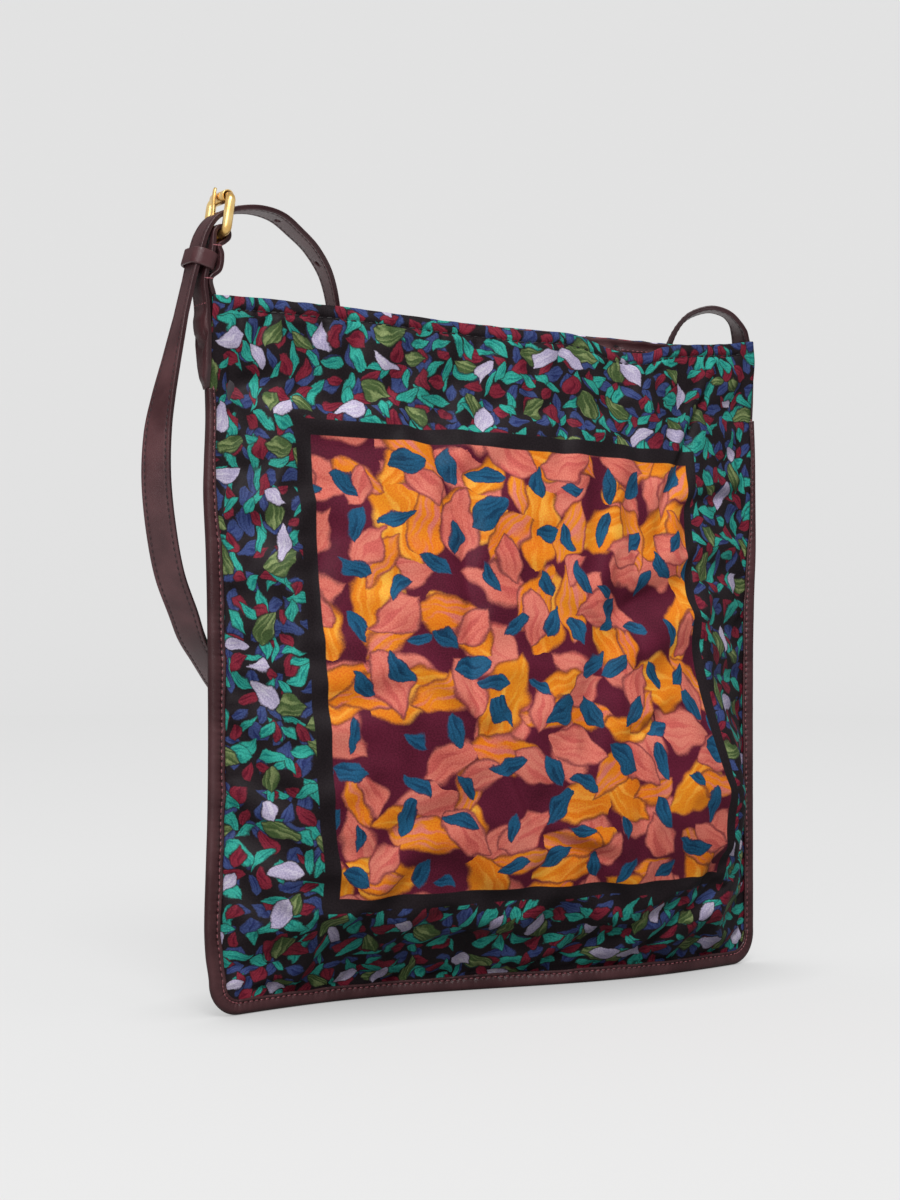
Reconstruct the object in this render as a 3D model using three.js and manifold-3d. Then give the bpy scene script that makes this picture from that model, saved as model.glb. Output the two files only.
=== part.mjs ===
// Shoulder bag: two soft cloth panels held together by a leather edge binding, with a leather
// strap that is buckled to a tab on the left side and hangs in a loop behind the bag.
// Millimetres, +Z up. X runs across the bag, the front faces -Y, and the origin is on the
// ground under the middle of the bottom seam.
import * as THREE from 'three';
import { mergeVertices } from 'three/addons/utils/BufferGeometryUtils.js';
import Module from 'manifold-3d';

const wasm = await Module();
wasm.setup();

// Driving dimensions of the bag
const BAG_WIDTH = 336;
const BAG_HEIGHT = 350;
const FLAT_WIDTH = 356; // a panel's cloth laid flat
const FLAT_HEIGHT = 369;
const PRINT_HALF_WIDTH = 123; // flat distance from the panel's middle to the printed frame
const CLOTH = 1;
const CLEARANCE = 0.3;
const PANEL_CELLS = 20; // grid cells across and up a panel, between its flat margins

// Leather binding round the left, bottom and right edges
const BINDING_WALL = 1.2;
const BINDING_DEPTH = 8;
const BINDING_TOP = 302;
const BINDING_STEP = 16;
const CORNER_RADIUS = 17;
const CORNER_STEPS = 6;
const SLOT_WIDTH = 2 * CLOTH + 5 * CLEARANCE;
const BINDING_THICKNESS = SLOT_WIDTH + 2 * BINDING_WALL;
const PANEL_INSET = BINDING_WALL + CLEARANCE; // panel edge, in from the binding's outside
const SEAM_OFFSET = CLOTH / 2 + CLEARANCE; // middle of a panel's wall, from the seam plane

// How the standing bag sags and sways
const SWAY = 11; // the bottom seam's S curve, to each side of straight
const SWAY_HEIGHT = 150; // height at which the S curve has faded out
const LEFT_BOW = 4.2; // the left side seam leans out between these heights
const LEFT_BOW_FROM = 110;
const LEFT_BOW_TO = 480;
const RIGHT_LEAN = 3; // the right side seam leans in above this height
const RIGHT_LEAN_FROM = 280;
const MOUTH_SPREAD = 6.7; // the side seams open to this half gap at the hem
const MOUTH_FROM = 303;
const HEM_SAG_FROM = 300; // flat height from which the hem's sag is taken up

// Leather facing inside the mouth
const FACING = 1.2;
const FACING_GAP = 0.9;
const FACING_CELLS_UP = 2; // its height, in the panel's grid cells
const FACING_LINES_IN = 2; // its ends, in grid lines from the panel's side edges

// Strap, tab and keeper
const STRAP_WIDTH = 15;
const STRAP = 2.5;
const TAB = 2.2;
const TIP_WIDTH = 3;
// Pointed leather sewn on each side seam, from its tip up
const LEAF = [
  { z: 305, width: TIP_WIDTH },
  { z: 316, width: 11 },
  { z: 332, width: STRAP_WIDTH },
];
const STEPS_PER_ROW = 3;
const KEEPER = { x: -173.9, z: 367.5, opening: 10.2, height: 7, wall: 1.4, radius: 2, tilt: 16.5 };

// Roller buckle, in its own frame: X through it, Y across the strap, Z from tab bar to roller
const BUCKLE = { x: -164.8, z: 380, tilt: 8.7 };
const BAR_SPACING = 19;
const BAR = 3.6;
const BAR_BEVEL = 0.9;
const FRAME_INSIDE = STRAP_WIDTH + 2;
const FRAME_RADIUS = 5;
const BAR_BORE = BAR / 2 + 0.6; // inside of what turns on a bar
const ROLLER_WALL = 0.7;
const PRONG_WALL = 1.6;
const PRONG_WIDTH = 2.6;
const PRONG_LENGTH = 23;
const PRONG_HOLE = 1.9; // radius of the strap's hole round the prong
const TAB_SLOT_HEIGHT = 11;
const ROUND_STEPS = 20;

// Panel sections, bottom to top: distance up the flat cloth, height, and how far the cloth
// stands out at the middle and at the two sides of the printed frame, with those sides' places.
const FRONT_SECTIONS = [
  { up: 8, z: 9.5, leftX: -118, left: 0, middle: 0, right: 0, rightX: 119 },
  { up: 26, z: 22, leftX: -118, left: 9, middle: 12, right: 11, rightX: 119 },
  { up: 62, z: 52, leftX: -117.5, left: 30, middle: 35, right: 28, rightX: 118.5 },
  { up: 118, z: 104, leftX: -124, left: 33, middle: 46, right: 43, rightX: 118 },
  { up: 183, z: 168, leftX: -128, left: 30, middle: 45, right: 35, rightX: 108 },
  { up: 248, z: 232, leftX: -128, left: 20, middle: 35, right: 22, rightX: 108 },
  { up: 303, z: 286, leftX: -127, left: 12, middle: 22, right: 11, rightX: 116 },
  { up: 369, z: 350, leftX: -124, left: 2, middle: 4, right: 2, rightX: 120 },
];
const BACK_SECTIONS = [
  { up: 8, z: 9.5, leftX: -119, left: 0, middle: 0, right: 0, rightX: 119 },
  { up: 26, z: 22, leftX: -119, left: 9, middle: 12, right: 9, rightX: 119 },
  { up: 62, z: 52, leftX: -119, left: 22, middle: 30, right: 22, rightX: 119 },
  { up: 118, z: 104, leftX: -122, left: 27, middle: 38, right: 27, rightX: 122 },
  { up: 183, z: 168, leftX: -123, left: 25, middle: 36, right: 25, rightX: 122 },
  { up: 248, z: 232, leftX: -124, left: 18, middle: 28, right: 18, rightX: 122 },
  { up: 303, z: 286, leftX: -124, left: 10, middle: 17, right: 10, rightX: 122 },
  { up: 369, z: 350, leftX: -124, left: 2, middle: 3.5, right: 2, rightX: 122 },
];

// The hem line: how far it drops below the side seams' tops
const FRONT_HEM = [
  { x: -168, drop: 0 },
  { x: -100, drop: 0.6 },
  { x: -44, drop: 3 },
  { x: 0, drop: 5.2 },
  { x: 54, drop: 5.2 },
  { x: 74, drop: 9.3 },
  { x: 86, drop: 12.2 },
  { x: 98, drop: 8.6 },
  { x: 111, drop: 6.5 },
  { x: 140, drop: 4 },
  { x: 168, drop: 0 },
];
const BACK_HEM = [
  { x: -168, drop: 0 },
  { x: 0, drop: 1.5 },
  { x: 168, drop: 0 },
];

// Soft folds: middle on the flat cloth, direction from across (degrees), half length and half
// width, and how far the cloth is pushed out (ridge) or in (furrow)
const FRONT_FOLDS = [
  { across: 40, up: 190, turn: 60, length: 55, width: 13, out: -2.6 },
  { across: 92, up: 222, turn: 15, length: 40, width: 11, out: -3 },
  { across: 88, up: 200, turn: 20, length: 38, width: 10, out: 2.6 },
  { across: 20, up: 130, turn: 115, length: 45, width: 12, out: 2.2 },
  { across: 112, up: 58, turn: 45, length: 40, width: 9, out: -3.2 },
  { across: 62, up: 40, turn: 30, length: 45, width: 9, out: -2.4 },
  { across: -118, up: 60, turn: -50, length: 40, width: 11, out: -2.4 },
  { across: 87, up: 335, turn: 95, length: 36, width: 15, out: 3 },
];
const BACK_FOLDS = [
  { across: -60, up: 150, turn: 70, length: 60, width: 15, out: -2.4 },
  { across: 70, up: 210, turn: -60, length: 55, width: 14, out: -2.2 },
  { across: 110, up: 58, turn: 45, length: 40, width: 10, out: -2.6 },
  { across: -110, up: 58, turn: -45, length: 40, width: 10, out: -2.6 },
];

// The strap's run above its pointed end on the right side: over and down behind the bag, up to
// the buckle, and down the free end. Lean turns its width from front-to-back towards -X. A row
// that states no lean or width has none and the strap's own.
const STRAP_RUN = [
  { x: 165.2, y: 0, z: 350, lean: 1 },
  { x: 163.8, y: 0.8, z: 356, lean: -6 },
  { x: 160.5, y: 2, z: 361.5, lean: -16 },
  { x: 155, y: 5, z: 366.3, lean: -26 },
  { x: 147, y: 9, z: 368.6, lean: -31 },
  { x: 140, y: 13, z: 367.2, lean: -31 },
  { x: 134.4, y: 17, z: 363.6, lean: -31 },
  { x: 130.3, y: 21.5, z: 356.1, lean: -31 },
  { x: 127.5, y: 25.5, z: 344, lean: -30 },
  { x: 124, y: 30, z: 310, lean: -20 },
  { x: 118, y: 36, z: 260, lean: -8 },
  { x: 106, y: 43, z: 200 },
  { x: 85, y: 48, z: 150 },
  { x: 51, y: 50, z: 112 },
  { x: 15, y: 51, z: 100 },
  { x: -21, y: 50, z: 112 },
  { x: -55, y: 48, z: 150 },
  { x: -73, y: 43, z: 200 },
  { x: -80, y: 36, z: 260, lean: -4 },
  { x: -83, y: 29, z: 310, lean: -8 },
  { x: -87, y: 23, z: 346, lean: -10 },
  { x: -95, y: 17, z: 367.4, lean: -9 },
  { x: -106, y: 12, z: 379.8, lean: -6 },
  { x: -118, y: 8, z: 387.6, lean: -3 },
  { x: -130, y: 4, z: 393.3 },
  { x: -143, y: 1, z: 395 },
  { x: -154, y: 0, z: 393.8 },
  { x: -161, y: 0, z: 391.6 },
  { x: -167.2, y: 0, z: 388 },
  { x: -172.3, y: 0, z: 380.8 },
  { x: -175.6, y: 0, z: 371 },
  { x: -179, y: 0, z: 358, lean: -4 },
  { x: -183.4, y: 0, z: 340, lean: -3 },
  { x: -189, y: -1, z: 317.5, lean: 8 },
  { x: -193.2, y: -1, z: 299, lean: 21 },
  { x: -195.8, y: -1, z: 283.5, lean: 33 },
  { x: -196.6, y: -1, z: 262, lean: 42 },
  { x: -193.4, y: 1, z: 238.2, lean: 48 },
  { x: -187.4, y: 4, z: 215, lean: 48 },
  { x: -178, y: 9, z: 196.5, lean: 46 },
  { x: -171, y: 14.5, z: 184.5, lean: 39 },
  { x: -161.2, y: 21, z: 173, lean: 28 },
  { x: -151, y: 29, z: 162, lean: 20 },
  { x: -143, y: 36, z: 153, lean: 12, width: 12 },
  { x: -138, y: 40, z: 147.5, lean: 12, width: TIP_WIDTH },
];

// The tab's run above its pointed end on the left side: up to the buckle's bar, and from the bar
// down round the keeper to its narrowed end inside the mouth
const TAB_UP = [
  { x: -172.4, z: 346 },
  { x: -173.5, z: 358 },
  { x: -169.5, z: 372 },
];
const TAB_ROUND_BAR = { from: 160, to: -65, step: 45 }; // degrees about the bar
const TAB_DOWN = [
  { x: -166.1, z: 374.3 },
  { x: -164.9, z: 370.5 },
  { x: -166, z: 362.8 },
  { x: -170.7, z: 358 },
  { x: -168.2, z: 350, width: 11 },
  { x: -166.8, z: 340, width: 7 },
  { x: -166, z: 328, width: TIP_WIDTH },
];

const UP = new THREE.Vector3(0, 0, 1);
const CLOTH_FINISH = { color: 0x2a2428, roughness: 0.6 };
const LEATHER_FINISH = { color: 0x4b2f34, roughness: 0.5 };
const BRASS_FINISH = { color: 0xb8892e, roughness: 0.3, metalness: 1 };

const bag = new THREE.Group();

function addPiece(parent, name, geometry, finish) {
  geometry.computeVertexNormals();
  const mesh = new THREE.Mesh(geometry, new THREE.MeshStandardMaterial(finish));
  mesh.name = name;
  parent.add(mesh);
  return mesh;
}

// A closed mesh whose corners are shared by position only
function weld(geometry) {
  geometry.deleteAttribute('normal');
  geometry.deleteAttribute('uv');
  return mergeVertices(geometry);
}

function toSolid(geometry) {
  const welded = weld(geometry);
  const mesh = new wasm.Mesh({
    numProp: 3,
    vertProperties: new Float32Array(welded.attributes.position.array),
    triVerts: new Uint32Array(welded.index.array),
  });
  return new wasm.Manifold(mesh);
}

function toGeometry(solid) {
  const { vertProperties, triVerts } = solid.getMesh();
  const geometry = new THREE.BufferGeometry();
  geometry.setAttribute('position', new THREE.BufferAttribute(vertProperties, 3));
  geometry.setIndex(new THREE.BufferAttribute(triVerts, 1));
  return geometry;
}

function cut(geometry, tool) {
  return toGeometry(toSolid(geometry).subtract(toSolid(tool)));
}

// Moves each corner of a welded geometry to place(x, y, z)
function bend(geometry, place) {
  const welded = weld(geometry);
  const corners = welded.attributes.position;
  for (let i = 0; i < corners.count; i += 1) {
    const point = place(corners.getX(i), corners.getY(i), corners.getZ(i));
    corners.setXYZ(i, point.x, point.y, point.z);
  }
  return welded;
}

// A box whose cells are counted by whole numbers along X and Z, from 0
function cellBox(cellsX, thickness, cellsZ) {
  const box = new THREE.BoxGeometry(cellsX, thickness, cellsZ, cellsX, 1, cellsZ);
  return box.translate(cellsX / 2, 0, cellsZ / 2);
}

function smooth(value) {
  return THREE.MathUtils.smoothstep(value, 0, 1);
}

// A smooth curve through one column of a table, by another column
function through(rows, knot, column, at) {
  const last = rows.length - 1;
  let i = 0;
  while (i < last - 1 && at > rows[i + 1][knot]) {
    i += 1;
  }
  const slope = (a, b) => (rows[b][column] - rows[a][column]) / (rows[b][knot] - rows[a][knot]);
  const span = rows[i + 1][knot] - rows[i][knot];
  const startSlope = slope(Math.max(i - 1, 0), i + 1) * span;
  const endSlope = slope(i, Math.min(i + 2, last)) * span;
  const t = THREE.MathUtils.clamp((at - rows[i][knot]) / span, 0, 1);
  const start = rows[i][column];
  const end = rows[i + 1][column];
  const ease = t * t * (3 - 2 * t);
  const lead = t * (1 - t) * (1 - t) * startSlope;
  const trail = t * t * (1 - t) * endSlope;
  return start + (end - start) * ease + lead - trail;
}

function sway(x, z) {
  return -SWAY * Math.sin((2 * Math.PI * x) / BAG_WIDTH) * (1 - smooth(z / SWAY_HEIGHT));
}

// How far a side seam stands outside its straight line at a height
function seamBow(side, z) {
  if (side > 0) {
    return -RIGHT_LEAN * smooth((z - RIGHT_LEAN_FROM) / (BAG_HEIGHT - RIGHT_LEAN_FROM));
  }
  const share = THREE.MathUtils.clamp((z - LEFT_BOW_FROM) / (LEFT_BOW_TO - LEFT_BOW_FROM), 0, 1);
  return LEFT_BOW * Math.sin(Math.PI * share) ** 2;
}

// Half the bag's width on one side, at a height
function halfWidth(side, z) {
  return BAG_WIDTH / 2 + seamBow(side, z);
}

// Middle of the leather that is sewn on the outside of a side seam
function leafX(side, z, thickness) {
  return side * (halfWidth(side, z) - PANEL_INSET + CLEARANCE + thickness / 2);
}

// From the seam plane to the middle of a panel's wall at the side seams
function seamGap(z) {
  return SEAM_OFFSET + MOUTH_SPREAD * smooth((z - MOUTH_FROM) / (BAG_HEIGHT - MOUTH_FROM));
}

function foldOut(folds, across, up) {
  let out = 0;
  for (const fold of folds) {
    const turn = THREE.MathUtils.degToRad(fold.turn);
    const dx = across - fold.across;
    const dz = up - fold.up;
    const along = (dx * Math.cos(turn) + dz * Math.sin(turn)) / fold.length;
    const beside = (dz * Math.cos(turn) - dx * Math.sin(turn)) / fold.width;
    out += fold.out * Math.exp(-along * along - beside * beside);
  }
  return out;
}

// Rounds a panel's two lower corners: a square corner region is pressed into a quarter disc
function roundCorner(point) {
  const side = Math.sign(point.x);
  const centreX = BAG_WIDTH / 2 - CORNER_RADIUS;
  const dx = Math.abs(point.x) - centreX;
  const dz = CORNER_RADIUS - point.z;
  if (dx <= 0 || dz <= 0) {
    return;
  }
  const scale = Math.max(dx, dz) / Math.hypot(dx, dz);
  point.x = side * (centreX + dx * scale);
  point.z = CORNER_RADIUS - dz * scale;
}

// The middle of a panel's wall, by distances on the flat cloth. Face is -1 in front, 1 behind.
function panelSurface(face, sections, hem, folds) {
  const margin = FLAT_WIDTH / 2 - BINDING_DEPTH;
  return (across, up) => {
    const rowUp = Math.max(up, BINDING_DEPTH);
    const column = (name) => through(sections, 'up', name, rowUp);
    const risen = column('z') + Math.min(up - BINDING_DEPTH, 0);
    const z = risen + Math.max(up - FLAT_HEIGHT, 0);
    const inner = BINDING_DEPTH + PANEL_INSET;
    const columns = [
      { at: -margin, x: inner - halfWidth(-1, z), out: 0 },
      { at: -PRINT_HALF_WIDTH, x: column('leftX'), out: column('left') },
      { at: 0, x: 0, out: column('middle') },
      { at: PRINT_HALF_WIDTH, x: column('rightX'), out: column('right') },
      { at: margin, x: halfWidth(1, z) - inner, out: 0 },
    ];
    const within = THREE.MathUtils.clamp(across, -margin, margin);
    const x = through(columns, 'at', 'x', within) + (across - within);
    const edgeFade = smooth((margin - Math.abs(within)) / BINDING_DEPTH);
    const footFade = smooth((rowUp - BINDING_DEPTH) / BINDING_DEPTH);
    const fold = foldOut(folds, across, up) * edgeFade * footFade;
    const out = through(columns, 'at', 'out', within) + fold;
    const point = new THREE.Vector3(x, face * (seamGap(z) + out), z);
    roundCorner(point);
    point.y += sway(point.x, point.z);
    const sagShare = smooth((up - HEM_SAG_FROM) / (FLAT_HEIGHT - HEM_SAG_FROM));
    point.z -= through(hem, 'x', 'drop', x) * sagShare;
    return point;
  };
}

// A point off a panel's middle surface, square to it, towards +Y where distance is positive
function offSurface(surface, across, up, distance) {
  const step = 0.5;
  const alongAcross = surface(across + step, up).sub(surface(across - step, up));
  const alongUp = surface(across, up + step).sub(surface(across, up - step));
  const normal = alongUp.cross(alongAcross).normalize();
  return surface(across, up).addScaledVector(normal, distance);
}

// Even grid lines between two places on the flat cloth
function evenLines(from, to) {
  const lines = [];
  for (let i = 0; i <= PANEL_CELLS; i += 1) {
    lines.push(THREE.MathUtils.lerp(from, to, i / PANEL_CELLS));
  }
  return lines;
}

// A panel's grid lines: its flat margins' edges, with even cells between
const MARGIN_X = FLAT_WIDTH / 2 - BINDING_DEPTH;
const ACROSS_LINES = [-FLAT_WIDTH / 2, ...evenLines(-MARGIN_X, MARGIN_X), FLAT_WIDTH / 2];
const UP_LINES = [0, ...evenLines(BINDING_DEPTH, FLAT_HEIGHT)];

function sheet(surface, acrossLines, upLines, thickness, offset) {
  const box = cellBox(acrossLines.length - 1, thickness, upLines.length - 1);
  return bend(box, (i, t, j) => {
    return offSurface(surface, acrossLines[Math.round(i)], upLines[Math.round(j)], t + offset);
  });
}

function panelSheet(surface) {
  return sheet(surface, ACROSS_LINES, UP_LINES, CLOTH, 0);
}

// The facing lies on the same grid, just inside the panel
function facingSheet(surface, face) {
  const acrossLines = ACROSS_LINES.slice(FACING_LINES_IN, -FACING_LINES_IN);
  const upLines = UP_LINES.slice(-1 - FACING_CELLS_UP);
  const offset = CLOTH / 2 + FACING_GAP + FACING / 2;
  return sheet(surface, acrossLines, upLines, FACING, -face * offset);
}

// Points along the binding's outer edge, with the direction into the bag
function bindingStations(top) {
  const stations = [];
  const centreX = BAG_WIDTH / 2 - CORNER_RADIUS;
  const sideSteps = Math.round((top - CORNER_RADIUS) / BINDING_STEP);
  const bottomSteps = Math.round((2 * centreX) / BINDING_STEP);
  const addSide = (side, share) => {
    const z = THREE.MathUtils.lerp(CORNER_RADIUS, top, share);
    stations.push({ x: side * halfWidth(side, z), z, inX: -side, inZ: 0 });
  };
  const addCorner = (side, angle) => {
    const inX = -side * Math.cos(angle);
    const inZ = Math.sin(angle);
    stations.push({
      x: side * centreX - CORNER_RADIUS * inX,
      z: CORNER_RADIUS - CORNER_RADIUS * inZ,
      inX,
      inZ,
    });
  };
  for (let i = sideSteps; i > 0; i -= 1) {
    addSide(-1, i / sideSteps);
  }
  for (let i = 0; i < CORNER_STEPS; i += 1) {
    addCorner(-1, (Math.PI / 2) * (i / CORNER_STEPS));
  }
  for (let i = 0; i <= bottomSteps; i += 1) {
    const x = THREE.MathUtils.lerp(-centreX, centreX, i / bottomSteps);
    stations.push({ x, z: 0, inX: 0, inZ: 1 });
  }
  for (let i = CORNER_STEPS - 1; i >= 0; i -= 1) {
    addCorner(1, (Math.PI / 2) * (i / CORNER_STEPS));
  }
  for (let i = 1; i <= sideSteps; i += 1) {
    addSide(1, i / sideSteps);
  }
  return stations;
}

// A blade that follows the bag's edge, from one depth to another inside it
function edgeBlade(stations, thickness, depthFrom, depthTo) {
  return bend(cellBox(stations.length - 1, thickness, 1), (i, t, j) => {
    const station = stations[Math.round(i)];
    const depth = THREE.MathUtils.lerp(depthFrom, depthTo, j);
    const x = station.x + station.inX * depth;
    const z = station.z + station.inZ * depth;
    return new THREE.Vector3(x, sway(x, z) + t, z);
  });
}

function bindingShape() {
  const blade = edgeBlade(bindingStations(BINDING_TOP), BINDING_THICKNESS, 0, BINDING_DEPTH);
  const stations = bindingStations(BINDING_TOP + 1);
  const slot = edgeBlade(stations, SLOT_WIDTH, BINDING_WALL, BINDING_DEPTH + 1);
  return cut(blade, slot);
}

// A flat strip along a table's rows, with the width and lean that each row states
function strip(route, thickness) {
  const rows = route.map((row) => ({ y: 0, lean: 0, width: STRAP_WIDTH, ...row }));
  const points = rows.map((row) => new THREE.Vector3(row.x, row.y, row.z));
  const curve = new THREE.CatmullRomCurve3(points, false, 'centripetal');
  const steps = STEPS_PER_ROW * (rows.length - 1);
  const between = (name, t) => {
    const place = t * (rows.length - 1);
    const i = Math.min(Math.floor(place), rows.length - 2);
    return THREE.MathUtils.lerp(rows[i][name], rows[i + 1][name], place - i);
  };
  return bend(cellBox(steps, thickness, 1), (i, t, j) => {
    const share = i / steps;
    const lean = THREE.MathUtils.degToRad(between('lean', share));
    const tangent = curve.getTangent(share);
    const across = new THREE.Vector3(-Math.sin(lean), Math.cos(lean), 0);
    across.addScaledVector(tangent, -across.dot(tangent)).normalize();
    const normal = across.clone().cross(tangent);
    const point = curve.getPoint(share);
    point.addScaledVector(normal, t);
    return point.addScaledVector(across, (j - 0.5) * between('width', share));
  });
}

// The pointed end of a strip that is sewn on a side seam
function leafRows(side, thickness) {
  return LEAF.map(({ z, width }) => ({ x: leafX(side, z, thickness), z, width }));
}

// The tab passes close round the buckle's bar
function tabRun() {
  const rows = [...leafRows(-1, TAB), ...TAB_UP];
  const radius = BAR_BORE + CLEARANCE + TAB / 2;
  for (let angle = TAB_ROUND_BAR.from; angle >= TAB_ROUND_BAR.to; angle -= TAB_ROUND_BAR.step) {
    const turn = THREE.MathUtils.degToRad(angle);
    rows.push({ x: BUCKLE.x + radius * Math.cos(turn), z: BUCKLE.z + radius * Math.sin(turn) });
  }
  return [...rows, ...TAB_DOWN];
}

function roundedRectangle(width, height, radius, Outline) {
  const outline = new Outline();
  const x = width / 2 - radius;
  const y = height / 2 - radius;
  outline.absarc(x, y, radius, 0, Math.PI / 2);
  outline.absarc(-x, y, radius, Math.PI / 2, Math.PI);
  outline.absarc(-x, -y, radius, Math.PI, 1.5 * Math.PI);
  outline.absarc(x, -y, radius, 1.5 * Math.PI, 2 * Math.PI);
  outline.closePath();
  return outline;
}

function keeperShape() {
  const width = STRAP_WIDTH + 1;
  const wall = 2 * KEEPER.wall;
  const outline = roundedRectangle(
    KEEPER.opening + wall,
    width + wall,
    KEEPER.radius + KEEPER.wall,
    THREE.Shape,
  );
  outline.holes.push(roundedRectangle(KEEPER.opening, width, KEEPER.radius, THREE.Path));
  const ring = new THREE.ExtrudeGeometry(outline, {
    depth: KEEPER.height,
    bevelEnabled: false,
    curveSegments: 4,
  });
  return weld(ring.translate(0, 0, -KEEPER.height / 2));
}

function buckleFrameShape() {
  const bevel = BAR_BEVEL;
  const outline = roundedRectangle(
    FRAME_INSIDE + 2 * BAR - 2 * bevel,
    BAR_SPACING + BAR - 2 * bevel,
    FRAME_RADIUS - bevel,
    THREE.Shape,
  );
  const hole = roundedRectangle(
    FRAME_INSIDE + 2 * bevel,
    BAR_SPACING - BAR + 2 * bevel,
    FRAME_RADIUS - BAR + bevel,
    THREE.Path,
  );
  outline.holes.push(hole);
  const depth = BAR - 2 * bevel;
  const frame = new THREE.ExtrudeGeometry(outline, {
    depth,
    bevelThickness: bevel,
    bevelSize: bevel,
    bevelSegments: 2,
    curveSegments: 5,
  });
  frame.translate(0, BAR_SPACING / 2, -depth / 2);
  const axes = new THREE.Matrix4().makeBasis(
    new THREE.Vector3(0, 1, 0),
    UP,
    new THREE.Vector3(1, 0, 0),
  );
  return weld(frame.applyMatrix4(axes));
}

function rollerShape() {
  const inside = BAR_BORE;
  const outside = inside + ROLLER_WALL;
  const half = STRAP_WIDTH / 2;
  const profile = [
    new THREE.Vector2(inside, -half),
    new THREE.Vector2(outside, -half),
    new THREE.Vector2(outside, half),
    new THREE.Vector2(inside, half),
    new THREE.Vector2(inside, -half),
  ];
  return weld(new THREE.LatheGeometry(profile, ROUND_STEPS));
}

// The prong's arm runs from the side of its eye to just clear of the roller
function prongArm(geometry) {
  const footX = -(BAR_BORE + PRONG_WALL / 2);
  const headX = -(BAR_BORE + ROLLER_WALL + CLEARANCE + PRONG_WALL / 2);
  const slant = Math.atan2(headX - footX, BAR_SPACING);
  geometry.translate(0, 0, PRONG_LENGTH / 2);
  geometry.rotateY(slant);
  return geometry.translate(footX, 0, 0);
}

function prongShape() {
  const outline = new THREE.Shape();
  outline.absarc(0, 0, BAR_BORE + PRONG_WALL, 0, 2 * Math.PI);
  const bore = new THREE.Path();
  bore.absarc(0, 0, BAR_BORE, 0, 2 * Math.PI);
  outline.holes.push(bore);
  const eye = new THREE.ExtrudeGeometry(outline, {
    depth: PRONG_WIDTH,
    bevelEnabled: false,
    curveSegments: ROUND_STEPS,
  });
  eye.translate(0, 0, -PRONG_WIDTH / 2);
  eye.rotateX(Math.PI / 2);
  const arm = prongArm(new THREE.BoxGeometry(PRONG_WALL, PRONG_WIDTH, PRONG_LENGTH));
  return toGeometry(toSolid(eye).add(toSolid(arm)));
}

// Soft panels and the facing inside the mouth
const frontSurface = panelSurface(-1, FRONT_SECTIONS, FRONT_HEM, FRONT_FOLDS);
const backSurface = panelSurface(1, BACK_SECTIONS, BACK_HEM, BACK_FOLDS);
addPiece(bag, 'front_panel', panelSheet(frontSurface), CLOTH_FINISH);
addPiece(bag, 'back_panel', panelSheet(backSurface), CLOTH_FINISH);
addPiece(bag, 'facing_front', facingSheet(frontSurface, -1), LEATHER_FINISH);
addPiece(bag, 'facing_back', facingSheet(backSurface, 1), LEATHER_FINISH);
addPiece(bag, 'edge_binding', bindingShape(), LEATHER_FINISH);

// Buckle: its frame carries the roller, the prong and the tab
const buckle = new THREE.Group();
buckle.position.set(BUCKLE.x, 0, BUCKLE.z);
buckle.rotation.y = THREE.MathUtils.degToRad(BUCKLE.tilt);
buckle.updateMatrixWorld();
bag.add(buckle);
addPiece(buckle, 'buckle_frame', buckleFrameShape(), BRASS_FINISH);
addPiece(buckle, 'buckle_prong', prongShape(), BRASS_FINISH);
const roller = addPiece(buckle, 'buckle_roller', rollerShape(), BRASS_FINISH);
roller.position.z = BAR_SPACING;

// Tab with a slot round the prong's eye, and strap with a hole round the prong's arm
const slotWidth = PRONG_WIDTH + 4 * CLEARANCE;
const slotTool = new THREE.BoxGeometry(TAB_SLOT_HEIGHT, slotWidth, TAB_SLOT_HEIGHT);
slotTool.applyMatrix4(buckle.matrixWorld);
addPiece(bag, 'buckle_tab', cut(strip(tabRun(), TAB), slotTool), LEATHER_FINISH);
const holeTool = new THREE.CylinderGeometry(PRONG_HOLE, PRONG_HOLE, PRONG_LENGTH, ROUND_STEPS);
prongArm(holeTool.rotateX(Math.PI / 2)).applyMatrix4(buckle.matrixWorld);
const wholeStrap = strip([...leafRows(1, STRAP), ...STRAP_RUN], STRAP);
addPiece(bag, 'strap', cut(wholeStrap, holeTool), LEATHER_FINISH);

const keeper = addPiece(bag, 'strap_keeper', keeperShape(), LEATHER_FINISH);
keeper.position.set(KEEPER.x, 0, KEEPER.z);
keeper.rotation.y = THREE.MathUtils.degToRad(KEEPER.tilt);

export default bag;
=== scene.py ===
import math
from collections import namedtuple

import bmesh
import bpy
import numpy as np
from mathutils import Matrix, Vector


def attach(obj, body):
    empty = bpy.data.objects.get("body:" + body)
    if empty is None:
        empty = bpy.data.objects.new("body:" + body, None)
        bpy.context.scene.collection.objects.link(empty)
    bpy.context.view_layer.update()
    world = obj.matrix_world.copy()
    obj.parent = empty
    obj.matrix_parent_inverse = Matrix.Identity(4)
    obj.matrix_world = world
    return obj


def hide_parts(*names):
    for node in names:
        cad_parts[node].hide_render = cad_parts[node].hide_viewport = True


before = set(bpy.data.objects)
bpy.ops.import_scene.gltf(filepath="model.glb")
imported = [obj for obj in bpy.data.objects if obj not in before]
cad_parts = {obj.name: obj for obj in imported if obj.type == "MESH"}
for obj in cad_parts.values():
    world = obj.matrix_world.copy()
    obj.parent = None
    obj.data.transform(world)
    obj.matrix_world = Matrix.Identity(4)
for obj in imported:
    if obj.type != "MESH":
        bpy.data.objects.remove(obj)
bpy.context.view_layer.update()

# Sizes and places are in millimetres in the bag's own frame, and go into the meshes in metres.
MM = 0.001

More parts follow.
